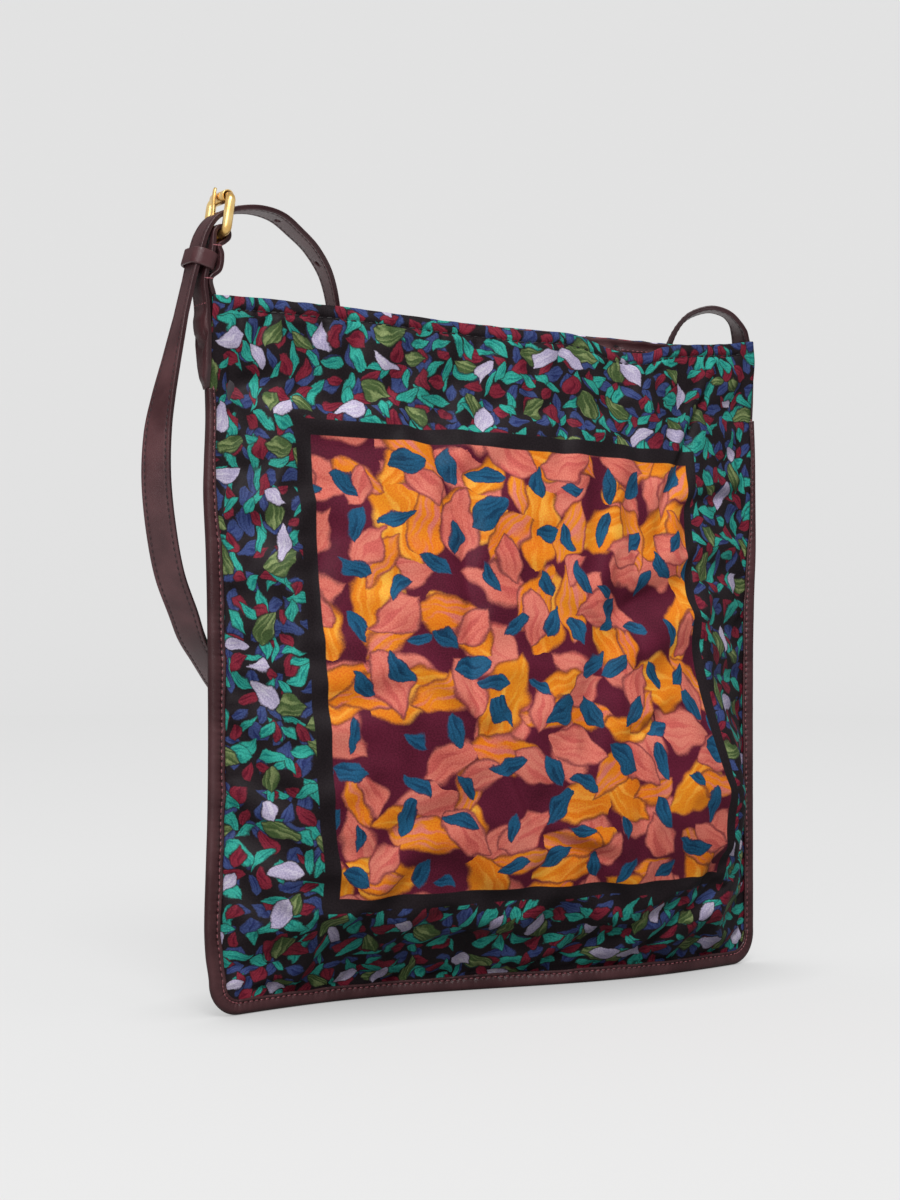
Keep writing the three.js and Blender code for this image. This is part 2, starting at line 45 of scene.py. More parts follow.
# The bag and its panels, as they are built
BAG_WIDTH = 336
BAG_HEIGHT = 350
FLAT_WIDTH = 356
FLAT_HEIGHT = 369
PRINT_HALF_WIDTH = 123
CLOTH_GAP = 0.8
CLOTH = 0.7
CLOTH_STEP = 0.5
BINDING_DEPTH = 8
BINDING_TOP = 305.5
BINDING_WALL = 1.2
CORNER_RADIUS = 17
PANEL_INSET = 1.5
SWAY = 11
SWAY_HEIGHT = 150
MOUTH_SPREAD = 6.7
MOUTH_FROM = 303
HEM_SAG_FROM = 300

# Hem and facings
HEM_STITCH_DROP = 6
HEM_FOLD_RADIUS = 0.5
HEM_TURN = 7
HEM_STITCH_PITCH = 4.6
HEM_STITCH_LENGTH = 3.3
HEM_STITCH_WIDTH = 1.2
HEM_STITCH_RISE = 0.2
HEM_STITCH_END = 4
HEM_PUFF = 0.6
HEM_PUFF_ROUND = 0.8
HEM_GROOVE = 0.8
HEM_GROOVE_WIDTH = 1.2
HEM_GATHER = 0.7
HEM_FINE_SHARE = 0.7
HEM_GATHER_REACH = 9
HEM_GATHER_FADE = 0.75
HEM_WAVER = 0.25
FACING = 1.2
FACING_HEIGHT = 36
FACING_OFFSET = 2
FACING_STEP = 6
FACING_HALF_WIDTH = 153
FACING_STITCH_DROP = 5.5
FACING_STITCH_END = 3
FACING_STITCH_RISE = 0.15
FACING_GROOVE = 0.25
FACING_GROOVE_WIDTH = 1.2
FACING_COLUMNS = 150
FACING_ROWS = 30

# Strap, tab, keeper and buckle
STRAP_WIDTH = 15
STRAP = 2.5
TAB = 2.2
TIP_WIDTH = 3
HOLE_RADIUS = 1.5
HOLE_SPACING = 35
HOLES = 3
PRONG_HOLE = (-162.6, 0, 390.9)
PRONG_HOLE_SPARE = 0.4
STRAP_STEPS = 8
STRAP_SEWN_FROM = 6
STRAP_SEWN_SHORT_OF_TIP = 8
STITCH_PITCH = 3.2
STITCH_INSET = 2
KEEPER_X, KEEPER_Z, KEEPER_TILT = -173.9, 367.5, 16.5
KEEPER_OPENING = 10.2
KEEPER_HEIGHT = 8.4
KEEPER_WALL = 1.4
KEEPER_RADIUS = 4.4
KEEPER_SPARE = 1
KEEPER_EDGE_RADIUS = 0.65
BUCKLE_X, BUCKLE_Z, BUCKLE_TILT = -164.8, 380, 8.7
BAR_SPACING = 19
BAR = 3.6
BAR_BORE = 2.4
FRAME_INSIDE = 17
FRAME_RADIUS = 5
FRAME_SWELL = 0.36
ROLLER_WALL = 0.7
ROLLER_EDGE_RADIUS = 0.25
PRONG_WALL = 1.6
PRONG_WIDTH = 2.6
PRONG_TIP_WIDTH = 0.6 * PRONG_WIDTH
PRONG_LENGTH = 23
PRONG_SIDES = 12
PRONG_STEPS = 4
PRONG_ROUND_BAR = range(460, 180, -20)
# The prong's places past the bar: how far it bows out, then how far it nods back, and the height
PRONG_BACK = [(0, 0), (0.15, 6), (0.3, 12)]
PRONG_FRONT = [(0, BAR_SPACING), (0.1, PRONG_LENGTH - 1), (0.3, PRONG_LENGTH)]
CLEARANCE = 0.3

# Panel sections, bottom to top: distance up the flat cloth, height, and how far the cloth stands
# out at the middle and at the two sides of the printed frame, with those sides' places
Section = namedtuple("Section", "up z left_x left middle right right_x")
FRONT_SECTIONS = [
    Section(8, 9.5, -118, 0, 0, 0, 119),
    Section(26, 22, -118, 9, 12, 11, 119),
    Section(62, 52, -117.5, 30, 35, 28, 118.5),
    Section(118, 104, -124, 33, 46, 43, 118),
    Section(183, 168, -128, 30, 45, 35, 105),
    Section(248, 232, -128, 20, 35, 22, 109),
    Section(303, 286, -127, 12, 22, 11, 118),
    Section(369, 350, -124, 2, 4, 2, 120),
]
BACK_SECTIONS = [
    Section(8, 9.5, -119, 0, 0, 0, 119),
    Section(26, 22, -119, 9, 12, 9, 119),
    Section(62, 52, -119, 22, 30, 22, 119),
    Section(118, 104, -122, 27, 38, 27, 122),
    Section(183, 168, -123, 25, 36, 25, 122),
    Section(248, 232, -124, 18, 28, 18, 122),
    Section(303, 286, -124, 10, 17, 10, 122),
    Section(369, 350, -124, 2, 3.5, 2, 122),
]

# The side edges: how far each stands out past half the bag's width, from the bottom up
Edge = namedtuple("Edge", "z out")
LEFT_EDGE = [
    Edge(0, 0), Edge(17, 0), Edge(30, 2), Edge(44, 2.8), Edge(70, 2), Edge(100, 1),
    Edge(140, 0.7), Edge(192, 1.2), Edge(228, 2), Edge(254, 3.1), Edge(270, 2.6),
    Edge(290, 1.8), Edge(304, 2.1), Edge(330, 3.6), Edge(350, 3.3), Edge(420, 1),
]
RIGHT_EDGE = [
    Edge(0, 0), Edge(17, 0), Edge(170, 0.4), Edge(205, 1.2), Edge(232, 2.1), Edge(262, 1.5),
    Edge(290, 0.8), Edge(320, -0.5), Edge(338, -1.4), Edge(350, -3.2), Edge(420, -3.2),
]

# The hem line: how far it drops below the side seams' tops
Drop = namedtuple("Drop", "x drop")
FRONT_HEM = [
    Drop(-168, 0), Drop(-100, 1.4), Drop(-44, 4), Drop(0, 5.8), Drop(36, 5.6), Drop(50, 8.4),
    Drop(62, 11.8), Drop(74, 13.2), Drop(86, 12.6), Drop(98, 8.8), Drop(111, 6.5),
    Drop(140, 4), Drop(168, 0),
]
BACK_HEM = [Drop(-168, 0), Drop(0, 1.5), Drop(90, 3), Drop(130, 3.2), Drop(168, 0)]

# Lines that wander: about how far from turn to turn, and the seed of its random draws
Waver = namedtuple("Waver", "step seed")
HEM_LINE = Waver(7, 5)
HEM_WIDE_GATHER = Waver(5, 3)
HEM_FINE_GATHER = Waver(2.6, 4)
BINDING_EDGE = Waver(11, 6)
BINDING_CRINKLE = Waver(3.4, 8)
FURROW_PULL = Waver(1.5, 9)
WAVER_TURNS = 400

# Soft folds: middle on the flat cloth, direction from across (degrees), half length and half
# width, and how far the cloth is pushed out (ridge) or in (furrow)
Fold = namedtuple("Fold", "across up turn length width out")
FRONT_FOLDS = [
    Fold(40, 190, 60, 55, 13, -2.6),
    Fold(92, 222, 15, 40, 11, -3),
    Fold(88, 200, 20, 38, 10, 2.6),
    Fold(20, 130, 115, 45, 12, 2.2),
    Fold(112, 58, 45, 40, 9, -3.2),
    Fold(62, 40, 30, 45, 9, -2.4),
    Fold(-118, 60, -50, 40, 11, -2.4),
    Fold(87, 335, 95, 36, 15, 3),
]
BACK_FOLDS = [
    Fold(-60, 150, 70, 60, 15, -2.4),
    Fold(70, 210, -60, 55, 14, -2.2),
    Fold(110, 58, 45, 40, 10, -2.6),
    Fold(-110, 58, -45, 40, 10, -2.6),
]

# Sharper creases of the front, each a ridge beside a furrow
CREST_ROUND = 0.25
CREST_SHARPNESS = 1.4
FRONT_CREASES = [
    # from the right end of the hem to the frame's corner
    Fold(125, 321, 62, 32, 4, -2.8),
    Fold(118, 324, 62, 32, 5.5, 2.2),
    # across the right border
    Fold(150, 277, 10, 20, 4, -1.8),
    Fold(150, 285, 10, 20, 4.5, 1.4),
    # the dent right of the middle and the ridge round it
    Fold(70, 218, 20, 22, 9, -4),
    Fold(48, 205, -35, 20, 6, 2.8),
    # the long pressed line left of the middle
    Fold(-47, 278, 107, 24, 3, -1.1),
    Fold(-42, 232, 90, 34, 3, -1.2),
    Fold(-43.5, 182, 91, 20, 3.2, -2.6),
    Fold(-55, 175, -44, 15, 4.5, 2.4),
    Fold(-36, 180, 91, 18, 4, 1.4),
    # two short creases in the lower middle
    Fold(-17, 122, -64, 22, 3.2, -2.4),
    Fold(-23, 119, -64, 20, 4.5, 1.8),
    Fold(22, 96, -18, 18, 4, 2.6),
    Fold(22, 87, -18, 18, 5, -2.2),
    # the upright fold right of them
    Fold(54, 134, 93, 32, 3.2, -2.4),
    Fold(60, 134, 93, 30, 4, 1.6),
    # a ridge on the bulge
    Fold(66, 160, 20, 16, 3.6, 2.2),
    Fold(66, 152, 20, 16, 4.5, -2),
    # towards the lower right corner
    Fold(120, 68, 38, 24, 4, 2),
    Fold(126, 60, 38, 24, 5, -2.2),
    Fold(80, 58, 22, 20, 4.5, 1.6),
    Fold(84, 50, 22, 22, 5, -2),
    # the pinch under the left end of the hem stitches
    Fold(-144, 357, 60, 8, 3, -2.4),
    Fold(-136, 358, 70, 7, 3, 1.7),
]

# The strap's run above its pointed end on the right side. Lean turns its width towards -X.
Stop = namedtuple("Stop", "x y z lean width", defaults=(0, STRAP_WIDTH))
STRAP_RUN = [
    Stop(164, 4, 350, -5),
    Stop(162.6, 4, 356, -9),
    Stop(159.7, 4.4, 361.5, -22),
    Stop(155, 5.6, 366, -29),
    Stop(147, 9, 368.6, -31),
    Stop(140, 13, 367.2, -31),
    Stop(134.4, 17, 363.6, -31),
    Stop(130.3, 21.5, 356.1, -31),
    Stop(127.5, 25.5, 344, -30),
    Stop(124, 30, 310, -20),
    Stop(118, 36, 260, -8),
    Stop(106, 43, 200),
    Stop(85, 48, 150),
    Stop(51, 50, 112),
    Stop(15, 51, 100),
    Stop(-21, 50, 112),
    Stop(-55, 48, 150),
    Stop(-73, 43, 200),
    Stop(-80, 36, 260, -4),
    Stop(-83, 29, 310, -8),
    Stop(-87, 23, 346, -10),
    Stop(-95, 17, 367.4, -9),
    Stop(-106, 12, 379.8, -6),
    Stop(-118, 8, 387.6, -3),
    Stop(-130, 4, 393.3),
    Stop(-143, 1, 395),
    Stop(-154, 0, 393.8),
    Stop(-161, 0, 391.6),
    Stop(-167.2, 0, 388),
    Stop(-172.3, 0, 380.8),
    Stop(-175.6, 0, 371),
    Stop(-179, 0, 358, -4),
    Stop(-183.4, 0, 340, -3),
    Stop(-189, -1, 317.5, 8),
    Stop(-193.2, -1, 299, 21),
    Stop(-195.8, -1, 283.5, 33),
    Stop(-196.6, -1, 262, 42),
    Stop(-193.4, 1, 238.2, 48),
    Stop(-187.4, 4, 215, 48),
    Stop(-178, 9, 196.5, 46),
    Stop(-171, 14.5, 184.5, 39),
    Stop(-161.2, 21, 173, 28),
    Stop(-151, 29, 162, 20),
    Stop(-143, 36, 153, 12, 12),
    Stop(-138, 40, 147.5, 12, TIP_WIDTH),
]
TAB_UP = [Stop(-172.4, 0, 346), Stop(-173.5, 0, 358), Stop(-169.5, 0, 372)]
TAB_ROUND_BAR = range(160, -66, -45)
TAB_DOWN = [
    Stop(-166.1, 0, 374.3),
    Stop(-164.9, 0, 370.5),
    Stop(-166, 0, 362.8),
    Stop(-170.7, 0, 358),
    Stop(-168.2, 0, 350, 0, 11),
    Stop(-166.8, 0, 340, 0, 7),
    Stop(-166, 0, 328, 0, TIP_WIDTH),
]
Leaf = namedtuple("Leaf", "z width")
STRAP_LEAF_LEAN = -25
STRAP_LEAF_BACK = 3
STRAP_LEAF_OUT = 1
LEAF = [Leaf(305, TIP_WIDTH), Leaf(316, 11), Leaf(332, STRAP_WIDTH)]


# Curves and the panels' shape

def smooth(share):
    share = np.clip(share, 0, 1)
    return share * share * (3 - 2 * share)


def unit(vectors):
    return vectors / np.linalg.norm(vectors, axis=1, keepdims=True)


def curve_through(knots, values, at):
    """A smooth curve through values at the knots. Values may have a column for each place."""
    knots = np.asarray(knots, float)
    at = np.asarray(at, float)
    last = len(knots) - 1
    values = np.asarray(values, float)
    if values.ndim == 1:
        values = values[:, None]
    values = np.broadcast_to(values, (last + 1, at.size))
    i = np.clip(np.searchsorted(knots, at, side="left") - 1, 0, last - 1)
    column = np.arange(at.size)

    def slope(a, b):
        return (values[b, column] - values[a, column]) / (knots[b] - knots[a])

    span = knots[i + 1] - knots[i]
    start_slope = slope(np.maximum(i - 1, 0), i + 1) * span
    end_slope = slope(i, np.minimum(i + 2, last)) * span
    t = np.clip((at - knots[i]) / span, 0, 1)
    rise = values[i + 1, column] - values[i, column]
    lead = t * (1 - t) ** 2 * start_slope
    trail = t ** 2 * (1 - t) * end_slope
    return values[i, column] + rise * smooth(t) + lead - trail


def through(rows, knot, column, at):
    knots = [getattr(row, knot) for row in rows]
    return curve_through(knots, [getattr(row, column) for row in rows], at)


def sway(x, z):
    return -SWAY * np.sin(2 * np.pi * x / BAG_WIDTH) * (1 - smooth(z / SWAY_HEIGHT))


def half_width(side, z):
    """Half the bag's width on one side, at a height."""
    edge = RIGHT_EDGE if side > 0 else LEFT_EDGE
    return BAG_WIDTH / 2 + through(edge, "z", "out", np.atleast_1d(z))


def seam_gap(z):
    return CLOTH_GAP + MOUTH_SPREAD * smooth((z - MOUTH_FROM) / (BAG_HEIGHT - MOUTH_FROM))


def bell(beside):
    return np.exp(-beside ** 2)


def sharp_crest(beside):
    return np.exp(CREST_ROUND - np.hypot(CREST_SHARPNESS * beside, CREST_ROUND))


def fold_out(folds, crest, across, up):
    """How far folds push the cloth out, with this shape across each of them."""
    out = np.zeros_like(across)
    for fold in folds:
        turn = math.radians(fold.turn)
        dx = across - fold.across
        dz = up - fold.up
        along = (dx * math.cos(turn) + dz * math.sin(turn)) / fold.length
        beside = (dz * math.cos(turn) - dx * math.sin(turn)) / fold.width
        out += fold.out * bell(along) * crest(beside)
    return out


def round_corner(x, z):
    """Presses the square lower corners into quarter discs."""
    centre = BAG_WIDTH / 2 - CORNER_RADIUS
    dx = np.abs(x) - centre
    dz = CORNER_RADIUS - z
    inside = (dx > 0) & (dz > 0)
    scale = np.maximum(dx, dz) / np.maximum(np.hypot(dx, dz), TINY)
    new_x = np.where(inside, np.sign(x) * (centre + dx * scale), x)
    new_z = np.where(inside, CORNER_RADIUS - dz * scale, z)
    return new_x, new_z


# Cloth simulation: its grid over the free cloth, its steps, and how it is held
SETTLE_COLUMNS = 100
SETTLE_ROWS = 104
SETTLE_REACH = FLAT_WIDTH / 2 - BINDING_DEPTH
SETTLE_FROM = BINDING_DEPTH
SETTLE_TO = FLAT_HEIGHT - HEM_STITCH_DROP
SETTLE_FRAMES = 24
SETTLE_LIMIT = 6
HOLD = 0.17
BENDING = 14
CLOTH_MASS = 0.05
EDGE_SPARE = 0.03
MIDDLE_SPARE = 0.012
SPARE_REACH = 0.3
STRETCHING = 15
SHEARING = 6
SETTLE_GRAVITY = 0.2
SETTLE_QUALITY = 6
ON_EDGE = 1e-6
TINY = 1e-9


def cubic_weights(share):
    """Weights of four neighbours for a smooth curve between the middle two."""
    square = share ** 2
    cube = share ** 3
    return [
        (2 * square - cube - share) / 2,
        (2 - 5 * square + 3 * cube) / 2,
        (share + 4 * square - 3 * cube) / 2,
        (cube - square) / 2,
    ]


class Panel:
    """One cloth panel: places on the flat cloth become places on the standing bag."""

    def __init__(self, face, sections, hem, folds, creases, detail):
        self.face = face
        self.sections = sections
        self.hem = hem
        self.folds = folds
        self.creases = creases
        self.detail = detail
        self.settled = None

    def surface(self, across, up):
        margin = FLAT_WIDTH / 2 - BINDING_DEPTH
        inner = BINDING_DEPTH + PANEL_INSET
        row_up = np.maximum(up, BINDING_DEPTH)

        def column(name):
            return through(self.sections, "up", name, row_up)

        z = column("z") + np.minimum(up - BINDING_DEPTH, 0) + np.maximum(up - FLAT_HEIGHT, 0)
        nothing = np.zeros_like(z)
        knots = [-margin, -PRINT_HALF_WIDTH, 0, PRINT_HALF_WIDTH, margin]
        left_edge = inner - half_width(-1, z)
        right_edge = half_width(1, z) - inner
        places = [left_edge, column("left_x"), nothing, column("right_x"), right_edge]
        outs = [nothing, column("left"), column("middle"), column("right"), nothing]
        within = np.clip(across, -margin, margin)
        x = curve_through(knots, places, within) + across - within
        edge_fade = smooth((margin - np.abs(within)) / BINDING_DEPTH)
        foot_fade = smooth((row_up - BINDING_DEPTH) / BINDING_DEPTH)
        fold = fold_out(self.folds, bell, across, up)
        fold = fold + fold_out(self.creases, sharp_crest, across, up) + self.detail(across, up)
        out = curve_through(knots, outs, within) + fold * edge_fade * foot_fade
        sag = through(self.hem, "x", "drop", x) + HEM_WAVER * (1 + wander(HEM_LINE, across))
        sag = sag * smooth((up - HEM_SAG_FROM) / (FLAT_HEIGHT - HEM_SAG_FROM))
        y = self.face * (seam_gap(z) + out)
        x, z = round_corner(x, z)
        points = np.stack([x, y + sway(x, z), z - sag], axis=1)
        if self.settled is not None:
            points = points + self.wrinkles(across, up)
        return points

    def wrinkles(self, across, up):
        """How far the settled cloth lies from its plain shape."""
        rows, columns = self.settled.shape[:2]
        column = (across / SETTLE_REACH + 1) / 2 * (columns - 1)
        row = (up - SETTLE_FROM) / (SETTLE_TO - SETTLE_FROM) * (rows - 1)
        column = np.clip(column, 0, columns - 1)
        row = np.clip(row, 0, rows - 1)
        i = np.minimum(column.astype(int), columns - 2)
        j = np.minimum(row.astype(int), rows - 2)
        moved = np.zeros((len(across), 3))
        for a, weight_a in enumerate(cubic_weights(column - i)):
            for b, weight_b in enumerate(cubic_weights(row - j)):
                near_i = np.clip(i + a - 1, 0, columns - 1)
                near_j = np.clip(j + b - 1, 0, rows - 1)
                moved += self.settled[near_j, near_i] * (weight_a * weight_b)[:, None]
        return moved

    def settle(self):
        """Runs the cloth: its spare width, held by the edges, buckles into wrinkles."""
        def place(s, t):
            across = (2 * s - 1) * SETTLE_REACH
            return self.surface(across, SETTLE_FROM + t * (SETTLE_TO - SETTLE_FROM))

        bm, share = bent_grid(SETTLE_COLUMNS, SETTLE_ROWS, place)
        mesh = finished_mesh("settling_cloth", bm)
        cloth = set_out("settling_cloth", mesh)
        held = cloth.vertex_groups.new(name="held")
        spare = cloth.vertex_groups.new(name="spare")
        from_edge = np.minimum(share, 1 - share).min(axis=1)
        for k, edge in enumerate(from_edge):
            held.add([k], 1 if edge < ON_EDGE else HOLD, "REPLACE")
            spare.add([k], float(smooth(edge / SPARE_REACH)), "REPLACE")
        simulation = cloth.modifiers.new("settle", "CLOTH")
        settings = simulation.settings
        settings.quality = SETTLE_QUALITY
        settings.mass = CLOTH_MASS
        settings.tension_stiffness = STRETCHING
        settings.compression_stiffness = STRETCHING
        settings.shear_stiffness = SHEARING
        settings.bending_stiffness = BENDING
        settings.vertex_group_mass = "held"
        settings.vertex_group_shrink = "spare"
        settings.shrink_min = -EDGE_SPARE
        settings.shrink_max = -MIDDLE_SPARE
        settings.effector_weights.gravity = SETTLE_GRAVITY
        simulation.collision_settings.use_collision = False
        start = np.array([vert.co for vert in mesh.vertices])
        for number in range(1, SETTLE_FRAMES + 1):
            bpy.context.scene.frame_set(number)
        graph = bpy.context.evaluated_depsgraph_get()
        moved = np.array([vert.co for vert in cloth.evaluated_get(graph).data.vertices]) - start
        bpy.context.scene.frame_set(1)
        bpy.data.objects.remove(cloth)
        bpy.data.meshes.remove(mesh)
        limit = SETTLE_LIMIT * MM
        size = np.linalg.norm(moved, axis=1, keepdims=True)
        moved = moved * np.minimum(1, limit / np.maximum(size, TINY))
        i, j = counted(share, SETTLE_COLUMNS, SETTLE_ROWS)
        self.settled = np.zeros((SETTLE_ROWS + 1, SETTLE_COLUMNS + 1, 3))
        self.settled[j, i] = moved / MM

    def outward(self, across, up, step=CLOTH_STEP):
        along_across = self.surface(across + step, up) - self.surface(across - step, up)
        along_up = self.surface(across, up + step) - self.surface(across, up - step)
        return unit(np.cross(along_up, along_across) * self.face)

    def off(self, across, up, distance, step=CLOTH_STEP):
        """Places off the cloth's middle, with distance outwards."""
        distance = np.reshape(distance, (-1, 1))
        return self.surface(across, up) + self.outward(across, up, step) * distance


def wander(waver, at):
    """A smooth line that wanders between -1 and 1, with a turn about every step."""
    knots = np.random.default_rng(waver.seed).uniform(-1, 1, WAVER_TURNS)
    place = at / waver.step + len(knots) / 2
    i = np.floor(place).astype(int)
    return knots[i] + (knots[i + 1] - knots[i]) * smooth(place - i)


def hem_detail(across, up):
    """The hem's puffed fold, pressed in along its stitches."""
    stitch = FLAT_HEIGHT - HEM_STITCH_DROP
    above = np.clip((up - stitch) / HEM_STITCH_DROP, 0, 1)
    puff = HEM_PUFF * np.sin(np.pi * above) ** HEM_PUFF_ROUND
    groove = HEM_GROOVE * bell((up - stitch) / HEM_GROOVE_WIDTH)
    gather = wander(HEM_WIDE_GATHER, across) + HEM_FINE_SHARE * wander(HEM_FINE_GATHER, across)
    reach = np.exp(-np.maximum(stitch - up, 0) / HEM_GATHER_REACH) * (1 - HEM_GATHER_FADE * above)
    return puff - groove + HEM_GATHER * gather * reach


front = Panel(-1, FRONT_SECTIONS, FRONT_HEM, FRONT_FOLDS, FRONT_CREASES, hem_detail)
back = Panel(1, BACK_SECTIONS, BACK_HEM, BACK_FOLDS, [], hem_detail)


# Making pieces

def flat_grid(columns, rows):
    """A grid of cells, and each corner's share of the way across and up it."""
    bm = bmesh.new()
    bmesh.ops.create_grid(bm, x_segments=columns, y_segments=rows, size=0.5)
    return bm, np.array([vert.co[:2] for vert in bm.verts]) + 0.5


def counted(share, columns, rows):
    """Each corner's column and row in a grid."""
    return np.rint(share * [columns, rows]).astype(int).T


def move_corners(bm, places):
    for vert, place in zip(bm.verts, places * MM):
        vert.co = place


def bent_grid(columns, rows, place):
    """A grid of cells whose corners go to place(s, t), with s and t running from 0 to 1."""
    bm, share = flat_grid(columns, rows)
    move_corners(bm, place(share[:, 0], share[:, 1]))
    return bm, share


def paint_edges_and_shade(bm, amounts):
    """Keeps how much dark paint, edge paint and painted shade, lies on each corner."""
    paint = bm.verts.layers.float.new("edge_paint_and_painted_shade")
    for vert, amount in zip(bm.verts, amounts):
        vert[paint] = amount


def finished_mesh(name, bm):
    mesh = bpy.data.meshes.new(name)
    bm.to_mesh(mesh)
    bm.free()
    return mesh


def set_out(name, data):
    """A new object with this mesh, light or camera, in the scene."""
    thing = bpy.data.objects.new(name, data)
    bpy.context.collection.objects.link(thing)
    return thing


pieces = []


def add_piece(name, bm, slot, *materials, replaced=()):
    mesh = finished_mesh(name, bm)
    mesh.shade_smooth()
    piece = set_out(name, mesh)
    for material in materials:
        mesh.materials.append(material)
    pieces.append(piece)
    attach(piece, "root")
    if replaced:
        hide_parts(*replaced)
    return piece


def thicken(piece, thickness, inner_material=0):
    solidify = piece.modifiers.new("thickness", "SOLIDIFY")
    solidify.thickness = thickness * MM
    solidify.offset = 0
    solidify.material_offset = inner_material
    solidify.material_offset_rim = 0
    return piece


# Corners closer than this, in metres, are one
WELD = 1e-7


def close_ends(bm):
    """Welds a swept shape's seam, fills its open ends and turns its faces outwards."""
    bmesh.ops.remove_doubles(bm, verts=bm.verts, dist=WELD)
    rims = [edge for edge in bm.edges if edge.is_boundary]
    if rims:
        bmesh.ops.holes_fill(bm, edges=rims, sides=0)
    bmesh.ops.recalc_face_normals(bm, faces=bm.faces)


front.settle()
back.settle()


# Strips: the strap, the tab and the prong

Strip = namedtuple("Strip", "centre tangent across normal width length")


def spline(points, steps):
    """A centripetal spline through the points, with this many steps from each to the next."""
    points = np.asarray(points, float)
    padded = np.vstack([2 * points[0] - points[1], points, 2 * points[-1] - points[-2]])
    gaps = np.linalg.norm(np.diff(padded, axis=0), axis=1) ** 0.5
    t = np.linspace(0, 1, steps, endpoint=False)[:, None]
    places = []
    for i in range(len(points) - 1):
        p0, p1, p2, p3 = padded[i:i + 4]
        d0, d1, d2 = gaps[i:i + 3]
        leave = ((p1 - p0) / d0 - (p2 - p0) / (d0 + d1) + (p2 - p1) / d1) * d1
        arrive = ((p2 - p1) / d1 - (p3 - p1) / (d1 + d2) + (p3 - p2) / d2) * d1
        square = 3 * (p2 - p1) - 2 * leave - arrive
        cube = 2 * (p1 - p2) + leave + arrive
        places.append(p1 + leave * t + square * t ** 2 + cube * t ** 3)
    return np.vstack(places + [points[-1:]])


def make_strip(stops, steps):
    centre = spline([stop[:3] for stop in stops], steps)
    place = np.arange(len(centre)) / steps
    rows = np.arange(len(stops))
    lean = np.radians(np.interp(place, rows, [stop.lean for stop in stops]))
    width = np.interp(place, rows, [stop.width for stop in stops])
    tangent = unit(np.gradient(centre, axis=0))
    across = np.stack([-np.sin(lean), np.cos(lean), np.zeros_like(lean)], axis=1)
    across = unit(across - tangent * np.sum(across * tangent, axis=1, keepdims=True))
    step = np.linalg.norm(np.diff(centre, axis=0), axis=1)
    length = np.concatenate([[0], np.cumsum(step)])
    return Strip(centre, tangent, across, np.cross(across, tangent), width, length)


def strip_at(strip, length):
    """A strip's centre, tangent, across, normal and width at a length along it."""
    def pick(values):
        if values.ndim == 1:
            return np.interp(length, strip.length, values)
        return np.array([np.interp(length, strip.length, column) for column in values.T])

    return [pick(values) for values in strip[:5]]


# Half a strap's section, from its edge to its middle: distance in from the edge, share of half
# the thickness, and how much dark paint: edge paint at the edge, painted shade in the groove.
# The groove is where the stitches lie.
BandPoint = namedtuple("BandPoint", "inset height paint")
BAND = [
    BandPoint(0.14, 0, 1),
    BandPoint(0, 0.34, 1),
    BandPoint(0.05, 0.7, 0.6),
    BandPoint(0.3, 0.95, 0.2),
    BandPoint(0.75, 1, 0),
    BandPoint(1.6, 1, 0),
    # painted shade in the stitch groove
    BandPoint(STITCH_INSET, 0.84, 0.3),
    BandPoint(2.4, 1, 0),
    BandPoint(3.4, 1.05, 0),
    BandPoint(STRAP_WIDTH / 2, 1.08, 0),
]


def band_profile():
    """The whole section: share across, share of half the thickness, and dark paint: edge paint and
    painted shade.
    """
    left = [(-0.5 + p.inset / STRAP_WIDTH, p.height, p.paint) for p in BAND]
    right = [(-a, h, p) for a, h, p in reversed(left[:-1])]
    top = left + right
    bottom = [(a, -h, p) for a, h, p in reversed(top[1:-1])]
    return np.array(top + bottom)


def no_swell(stations, across, height):
    return np.zeros_like(across)


def sweep_strip(strip, thickness, profile, swell=no_swell):
    """A closed solid along a strip. Swell pushes its surface along the strip's normal."""
    stations = len(strip.centre) - 1
    around = len(profile)
    bm, share = flat_grid(stations, around)
    i, j = counted(share, stations, around)
    across, height, paint = profile[j % around].T
    lift = height * thickness / 2 + swell(i, across, height)
    places = strip.centre[i] + strip.across[i] * (across * strip.width[i])[:, None]
    move_corners(bm, places + strip.normal[i] * lift[:, None])
    paint_edges_and_shade(bm, paint)
    close_ends(bm)
    return bm


def leaf_stops(side, thickness):
    """The pointed leather sewn on the outside of a side seam."""
    stops = []
    for leaf in LEAF:
        x = side * (half_width(side, leaf.z)[0] - PANEL_INSET + CLEARANCE + thickness / 2)
        out, y, lean = (STRAP_LEAF_OUT, STRAP_LEAF_BACK, STRAP_LEAF_LEAN) if side > 0 else (0, 0, 0)
        stops.append(Stop(float(x) + out, y, leaf.z, lean, leaf.width))
    return stops


# Stitches

STITCH_LENGTH = 2.1
STITCH_WIDTH = 0.75
STITCH_HEIGHT = 0.5
STRAP_STITCH_WIDTH = 1
STRAP_STITCH_RISE = 0.95


def thread_bead():
    """One stitch's shape: a small ball, which each stitch stretches along its line."""
    bm = bmesh.new()
    bmesh.ops.create_uvsphere(bm, u_segments=6, v_segments=5, radius=0.5)
    return finished_mesh("thread_bead", bm)


bead = thread_bead()
bead_shape = np.array([vert.co for vert in bead.vertices])


def sew(bm, place, along, out, length=STITCH_LENGTH, width=STITCH_WIDTH):
    """One stitch: a small round of thread along a line, half sunk into what it holds."""
    along = Vector(along).normalized()
    side = along.cross(Vector(out)).normalized()
    out = side.cross(along)
    axes = np.array([side * width, out * STITCH_HEIGHT, along * length])
    bead.vertices.foreach_set("co", ((bead_shape @ axes + place) * MM).ravel())
    bm.from_mesh(bead)


